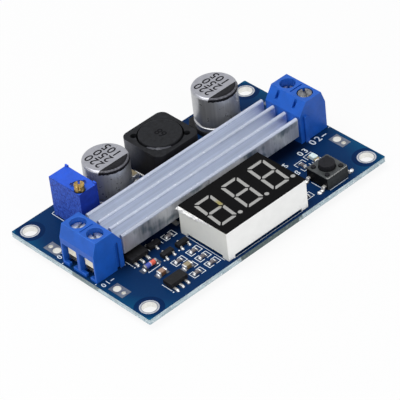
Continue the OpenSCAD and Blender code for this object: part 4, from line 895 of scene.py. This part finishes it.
# Main parts

def make_end(end):
    """Terminal and capacitor of the input or the output. One screw is tarnished."""
    # The housing's broken edges take a lighter blue, a painted highlight.
    skin(f"{end}_terminal_housing", BLUE, 0.12, 2, "terminal_blue", rim=BLUE_EDGE_HIGHLIGHT)
    dress(CAGE, f"{end}_terminal_contacts")
    for pole in ("positive", "negative"):
        skin(f"{end}_{pole}_guard", CREAM, 0.06, 2, "plated_steel")
        steel = TARNISHED if (end, pole) == ("output", "negative") else PLATED
        skin(f"{end}_{pole}_screw", steel, 0.07, 2, "plated_steel")
    dress(CAN, f"{end}_capacitor_can")
    skin(f"{end}_capacitor_base", BLACK, 0.12, 2, "black_moulding")
    dress(LEADS, f"{end}_capacitor_leads")


def print_can(end):
    """Black segment that runs over a can's rim, and three lines of plain numbers on its top."""
    chord, depth, wobble, near = 2.6, 0.85, 0.16, 0.001
    ink_t, rim_low, rim_high = 0.02, 0.5, 0.95
    lines, first, pitch, offset, size = ("220", "250", "105"), -2.3, 2.4, 0.68, 2.05
    node = f"{end}_capacitor_can"
    x, y, _ = centre(node)
    top = box(node)[1].z
    bm = welded(node)
    for point, side in (((x, y - chord, top), (0, 1, 0)), ((x, y, top - depth), (0, 0, -1))):
        bmesh.ops.bisect_plane(bm, geom=bm.verts[:] + bm.edges[:] + bm.faces[:],
                               plane_co=Vector(point) * MM, plane_no=side, clear_outer=True)

    def at_foot(v):
        return abs(v.co.z / MM - top + depth) < near

    foot = [e for e in bm.edges if all(map(at_foot, e.verts))]
    bmesh.ops.subdivide_edges(bm, edges=foot, cuts=5)
    bm.normal_update()
    for v in bm.verts:
        if at_foot(v):
            v.co.z += wobble * noise.noise(v.co / MM * 2.1) * MM
    mesh = to_mesh(bm, f"{end}_can_band")
    band = place(f"{end}_can_band", mesh, INK, "can")
    # The rim's faces take the greyer ink, a painted sheen.
    mesh.materials.append(INK_RIM_SHEEN)
    for p in mesh.polygons:
        p.material_index = 1 if rim_low < p.normal.z < rim_high else 0
    thick = band.modifiers.new("ink", "SOLIDIFY")
    thick.thickness = ink_t * MM
    thick.offset = 1
    figures = Shape()
    for i, text in enumerate(lines):
        at = x + first + pitch * i
        figures.figures(text, at, y + offset, size, 90, top - SUNK, top + PRINT, spacing=1.12)
    figures.build(f"{end}_can_figures", INK, "can", smooth=0)


def make_trimmer():
    """Sandy case with a smooth top and a smooth front darkened by painted shade, brass screw, and a curved
    arrow with two heads.
    """
    r, w, first, last, step = 2.3, 0.26, 30, 90, 6
    head_half, head_l = 0.45, 0.75
    # The front face is a darker blue, painted shade.
    skin("trimmer_housing", TRIMMER, 0.1, 2, "trimmer_blue", other=[
        (TRIMMER_TOP, lambda n, c: n.z > FACING), (TRIMMER_SHADED_FRONT, lambda n, c: n.y < -FACING)])
    skin("trimmer_screw", BRASS, 0.1, 2, "brass")
    dress(LEADS, "trimmer_pins")
    x, y, _ = centre("trimmer_screw")
    top = box("trimmer_housing")[1].z

    def at(radius, degrees, aside=0.0):
        c, s = math.cos(math.radians(degrees)), math.sin(math.radians(degrees))
        return x + radius * c + aside * s, y + radius * s - aside * c

    arrow = Shape()
    arrow.stroke([at(r, a) for a in range(first, last + 1, step)], w, top - SUNK, top + PRINT)
    for a, side in ((first, 1), (last, -1)):
        head = [at(r, a, side * head_l), at(r + head_half, a), at(r - head_half, a)]
        arrow.prism(head[::side], top - SUNK, top + PRINT + STEP)
    arrow.build("trimmer_arrow", NAVY_INK, "trimmer_blue", smooth=0)


def make_choke():
    """Ferrite shield and core with a number, and a bead of resin along part of the gap."""
    low, high = box("inductor_shield")
    mid, half = (low + high) / 2, (high - low) / 2
    upright, outer = 0.5, 0.88  # limits of a normal's Z, and of the share of the half size

    def outer_side(n, c):
        return abs(n.z) < upright and max(abs(c.x - mid.x) / half.x, abs(c.y - mid.y) / half.y) > outer

    # The outer sides take a painted highlight round the upper back-left corner that fades to painted shade.
    sides = choke_sides_painted_light((low.x, high.y, high.z))
    skin("inductor_shield", FERRITE, 0.2, 3, "ferrite", other=[(sides, outer_side)])
    skin("inductor_core", FERRITE, 0.16, 2, "ferrite")
    dress(COPPER, "inductor_winding")
    dress(LEADS, "inductor_terminals")
    core_low, core_high = box("inductor_core")
    x, y, _ = centre("inductor_core")
    make_bead(x, y, (core_high.x - core_low.x) / 2, high.z)
    figures = Shape()
    figures.figures("68", x + 0.2, y - 0.1, 1.9, 90, core_high.z - SUNK, core_high.z + 0.008)
    figures.build("choke_figures", FERRITE_INK, "ferrite", smooth=0)


def make_bead(x, y, r, top):
    """Uneven bead of resin round part of a circle of radius r, on a face at height top."""
    first, sweep, steps, foot, n = 193, 62, 60, 0.3, 5
    bead = Shape()
    for i in range(steps + 1):
        a = math.radians(first + sweep * i / steps)
        c, s = math.cos(a), math.sin(a)
        swell = math.sin(math.pi * i / steps) ** 0.6
        wild = noise.noise(Vector((c * 6, s * 6, 0.3)))
        fine = noise.noise(Vector((c * 21, s * 21, 1.7)))
        bead.verts += [(x + (r + out) * c, y + (r + out) * s, top + up) for out, up in (
            (-0.02, -foot),
            (-0.02, swell * (0.16 + 0.1 * wild)),
            (0.2, swell * (0.1 + 0.12 * wild + 0.06 * fine)),
            (0.36 + swell * (0.16 + 0.2 * wild + 0.1 * fine), 0.02),
            (0.34, -foot))]
    for i in range(steps):
        bead.faces += ring_faces(i * n, (i + 1) * n, n)
    bead.faces += [(0, 4, 3, 2, 1), tuple(range(steps * n, (steps + 1) * n))]
    bead.build("choke_resin_bead", RESIN, "ferrite")


def make_heatsink():
    """Extrusion with sawn ends and front, duller fin tops and nicked edges, and what it cools."""
    low, high = box("heatsink")
    fin_crown = 0.47

    def sawn(n, c):
        return abs(n.x) > FACING or (n.y < -FACING and c.y < low.y + 0.1)

    def fin_top(n, c):
        return c.z > high.z - fin_crown and n.z > 0.02

    skin("heatsink", ALUMINIUM, 0.07, 2, "heatsink", 50, [(SAWN, sawn), (FIN_TOPS, fin_top)], NICKED)
    dress(THERMAL, "thermal_pads")
    dress(BLACK, "mosfet_body", "rectifier_body")
    dress(LEADS, "mosfet_frame", "rectifier_frame")


def make_display():
    """White housing with its left wall greyed by painted shade, black face, cast segments and moulding
    flash.
    """
    skin("display_housing", WHITE, 0.1, 2, "display_white", other=[(WHITE_SHADED_SIDE, lambda n, c: n.x < -FACING)])
    dress(FACE, "display_face")
    dress(SEGMENT, "display_segments")
    dress(GREEN, "display_carrier")
    dress(LEADS, "display_pins")
    make_flash(*box("display_housing"))


def make_flash(low, high):
    """Moulding flash: a lumpy curtain below one edge, and a sliver and a drop at two corners."""
    cols, rows, reach, start = 96, 12, 10.5, 0.06
    flash = Shape()
    for i in range(cols + 1):
        along = i / cols
        y = high.y - start - along * reach
        tall = (1.6 * (1 - along) ** 0.8 + 0.25) * (1 + 0.4 * noise.noise(Vector((y * 0.9, 0.2, 0.7))))
        for k in range(rows + 1):
            down = k / rows
            lump = noise.fractal(Vector((y * 1.1, down * tall * 1.8, 4.1)), 1.0, 2.0, 3)
            out = -0.05 + (0.24 + 0.42 * lump) * math.sin(math.pi * down ** 0.6) * (1 - along) ** 0.6
            flash.verts.append((low.x - out, y, high.z - 0.02 - down * tall))
    column = rows + 1
    flash.faces += [(i + k, i + k + 1, i + column + k + 1, i + column + k)
                    for i in range(0, cols * column, column) for k in range(rows)]
    sliver = [(0, -0.2, 0.1), (0.3, 0.02, 0.18), (0.72, 0.1, 0.5), (0.5, 0, 0.62), (0.16, -0.1, 0.62),
              (0, -0.3, 0.8)]
    n = len(sliver)
    flash.add([(low.x - out, high.y + dy + side, high.z - drop)
               for side in (-0.05, 0.03) for out, dy, drop in sliver],
              [tuple(range(n)), tuple(range(n, 2 * n))[::-1]]
              + [(k, k + n, (k + 1) % n + n, (k + 1) % n) for k in range(n)])
    flash.dome(high.x - 0.02, low.y + 0.25, high.z - 0.55, 0.26, 0.34, 0.5, rough=0.5)
    flash.build("display_flash", WHITE, "display_white")


def make_button():
    """Base with pips and a left side in painted shade, cover with a painted highlight along its front edge,
    plunger, and a dome.
    """
    cover_low = box("button_cover")[0]
    # The base's left side takes the near-black painted shade.
    skin("button_base", BUTTON, 0.06, 2, "black_moulding", other=[
        (PLUNGER, lambda n, c: c.z > cover_low.z), (BUTTON_SHADED_SIDE, lambda n, c: n.x < -FACING)])
    skin("button_cover", COVER, 0.1, 2, "button_cover", rim=cover_edge_highlight(cover_low.y))
    skin("button_plunger", PLUNGER, 0.12, 3, "black_moulding")
    dome = skin("button_dome", PLATED, 0.02, 1, "dome")
    foot = centre("button_dome")
    foot.z = box("button_dome")[0].z
    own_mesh(dome)
    skin("button_leads", LEADS, 0.05, 1, "leads")


# Small parts

def make_small_parts():
    """Chips, regulators, transistors, glass diode, lamp and controllers."""
    skin("chip_resistor_bodies", RESISTOR, 0.05, 1, "resistor")
    skin("chip_resistor_ends", SOLDER, 0.08, 2, "leads")
    first, second = ((low.x + high.x) / 2 for low, high in islands("chip_capacitor_bodies")[:2])
    split = (first + second) / 2
    # Painted shade and light: the sides take darker browns and the tops lighter ones of the same ceramic.
    ceramic = chip_ceramic("chip_ceramic", split, (116, 84, 58), (112, 96, 62))
    lit_ceramic_top = chip_ceramic("chip_ceramic_top", split, (160, 132, 116), (154, 144, 116))
    skin("chip_capacitor_bodies", ceramic, 0.08, 2, "chip_ceramic",
         other=[(lit_ceramic_top, lambda n, c: n.z > FACING)])
    skin("chip_capacitor_ends", SOLDER, 0.1, 2, "leads")
    skin("regulator_bodies", BLACK, 0.1, 2, "black_moulding")
    skin("regulator_leads", LEADS, 0.05, 1, "leads")
    skin("transistor_bodies", BLACK, 0.07, 2, "black_moulding")
    dress(LEADS, "transistor_leads")
    diode_low, diode_high = box("glass_diode_body")
    skin("glass_diode_body", two_colour_glass(diode_low.x, diode_high.x), 0.08, 2, "glass")
    skin("glass_diode_caps", CAPS, 0.1, 2, "leads")
    skin("indicator_led_lens", LENS, 0.08, 2, "lens")
    skin("indicator_led_ends", GOLD, 0.06, 2, "leads")
    dress(BLACK, "controller_bodies")
    dress(LEADS, "controller_leads")


def wet(solder, ends, bodies, out, h, wide=1.15, axis=None):
    """Solder round the outer end of each lead or chip end, out mm long, h mm high and wide times as wide.
    It lies along axis, or else the way that points from the nearest body."""
    middles = [(a + b) / 2 for a, b in islands(bodies)]
    for low, high in islands(ends):
        mid = (low + high) / 2
        gap = mid - min(middles, key=lambda m: (m - mid).length)
        k = (0 if abs(gap.x) > abs(gap.y) else 1) if axis is None else axis
        tip = high[k] if gap[k] > 0 else low[k]
        half = (high[1 - k] - low[1 - k]) / 2 * wide
        if k == 0:
            solder.dome(tip, mid.y, LAND, out, half, h)
        else:
            solder.dome(mid.x, tip, LAND, half, out, h)


def make_solder():
    """Solder fillets on the board's top."""
    lead_pitch, lead_out = 1.5, 0.9
    solder = Shape()
    wet(solder, "chip_resistor_ends", "chip_resistor_bodies", 0.22, 0.3)
    wet(solder, "chip_capacitor_ends", "chip_capacitor_bodies", 0.28, 0.5, 1.05)
    wet(solder, "transistor_leads", "transistor_bodies", 0.42, 0.38, 1.5, 1)
    wet(solder, "glass_diode_caps", "glass_diode_body", 0.34, 0.45, 1.0)
    wet(solder, "indicator_led_ends", "indicator_led_lens", 0.42, 0.4, 1.05)
    wet(solder, "button_leads", "button_base", 0.6, 0.46, 1.45, 0)
    for low, high in islands("regulator_bodies"):
        x = (low.x + high.x) / 2
        for i in (-1, 0, 1):
            solder.dome(x + i * lead_pitch, low.y - lead_out, LAND, 0.36, 0.36, 0.4)
        solder.dome(x, high.y + lead_out, LAND, 0.95, 0.3, 0.35)
    for end in ("input", "output"):
        low, high = box(f"{end}_capacitor_leads")
        for y in (low.y, high.y):
            solder.dome((low.x + high.x) / 2, y, LAND, 0.75, 0.35, 0.3)
    low, high = box("inductor_terminals")
    for x in (low.x, high.x):
        solder.dome(x, (low.y + high.y) / 2, LAND, 0.28, 2.4, 0.35)
    solder.build("solder_fillets", SOLDER, "tin")


make_camera()
make_floor()
make_light()
make_board()
make_holes()
print_board()
make_underside()
for end in ("input", "output"):
    make_end(end)
for end in ("input", "output"):
    print_can(end)
make_trimmer()
make_choke()
make_heatsink()
make_display()
make_button()
make_small_parts()
make_solder()

bpy.context.scene.view_settings.view_transform = "Standard"
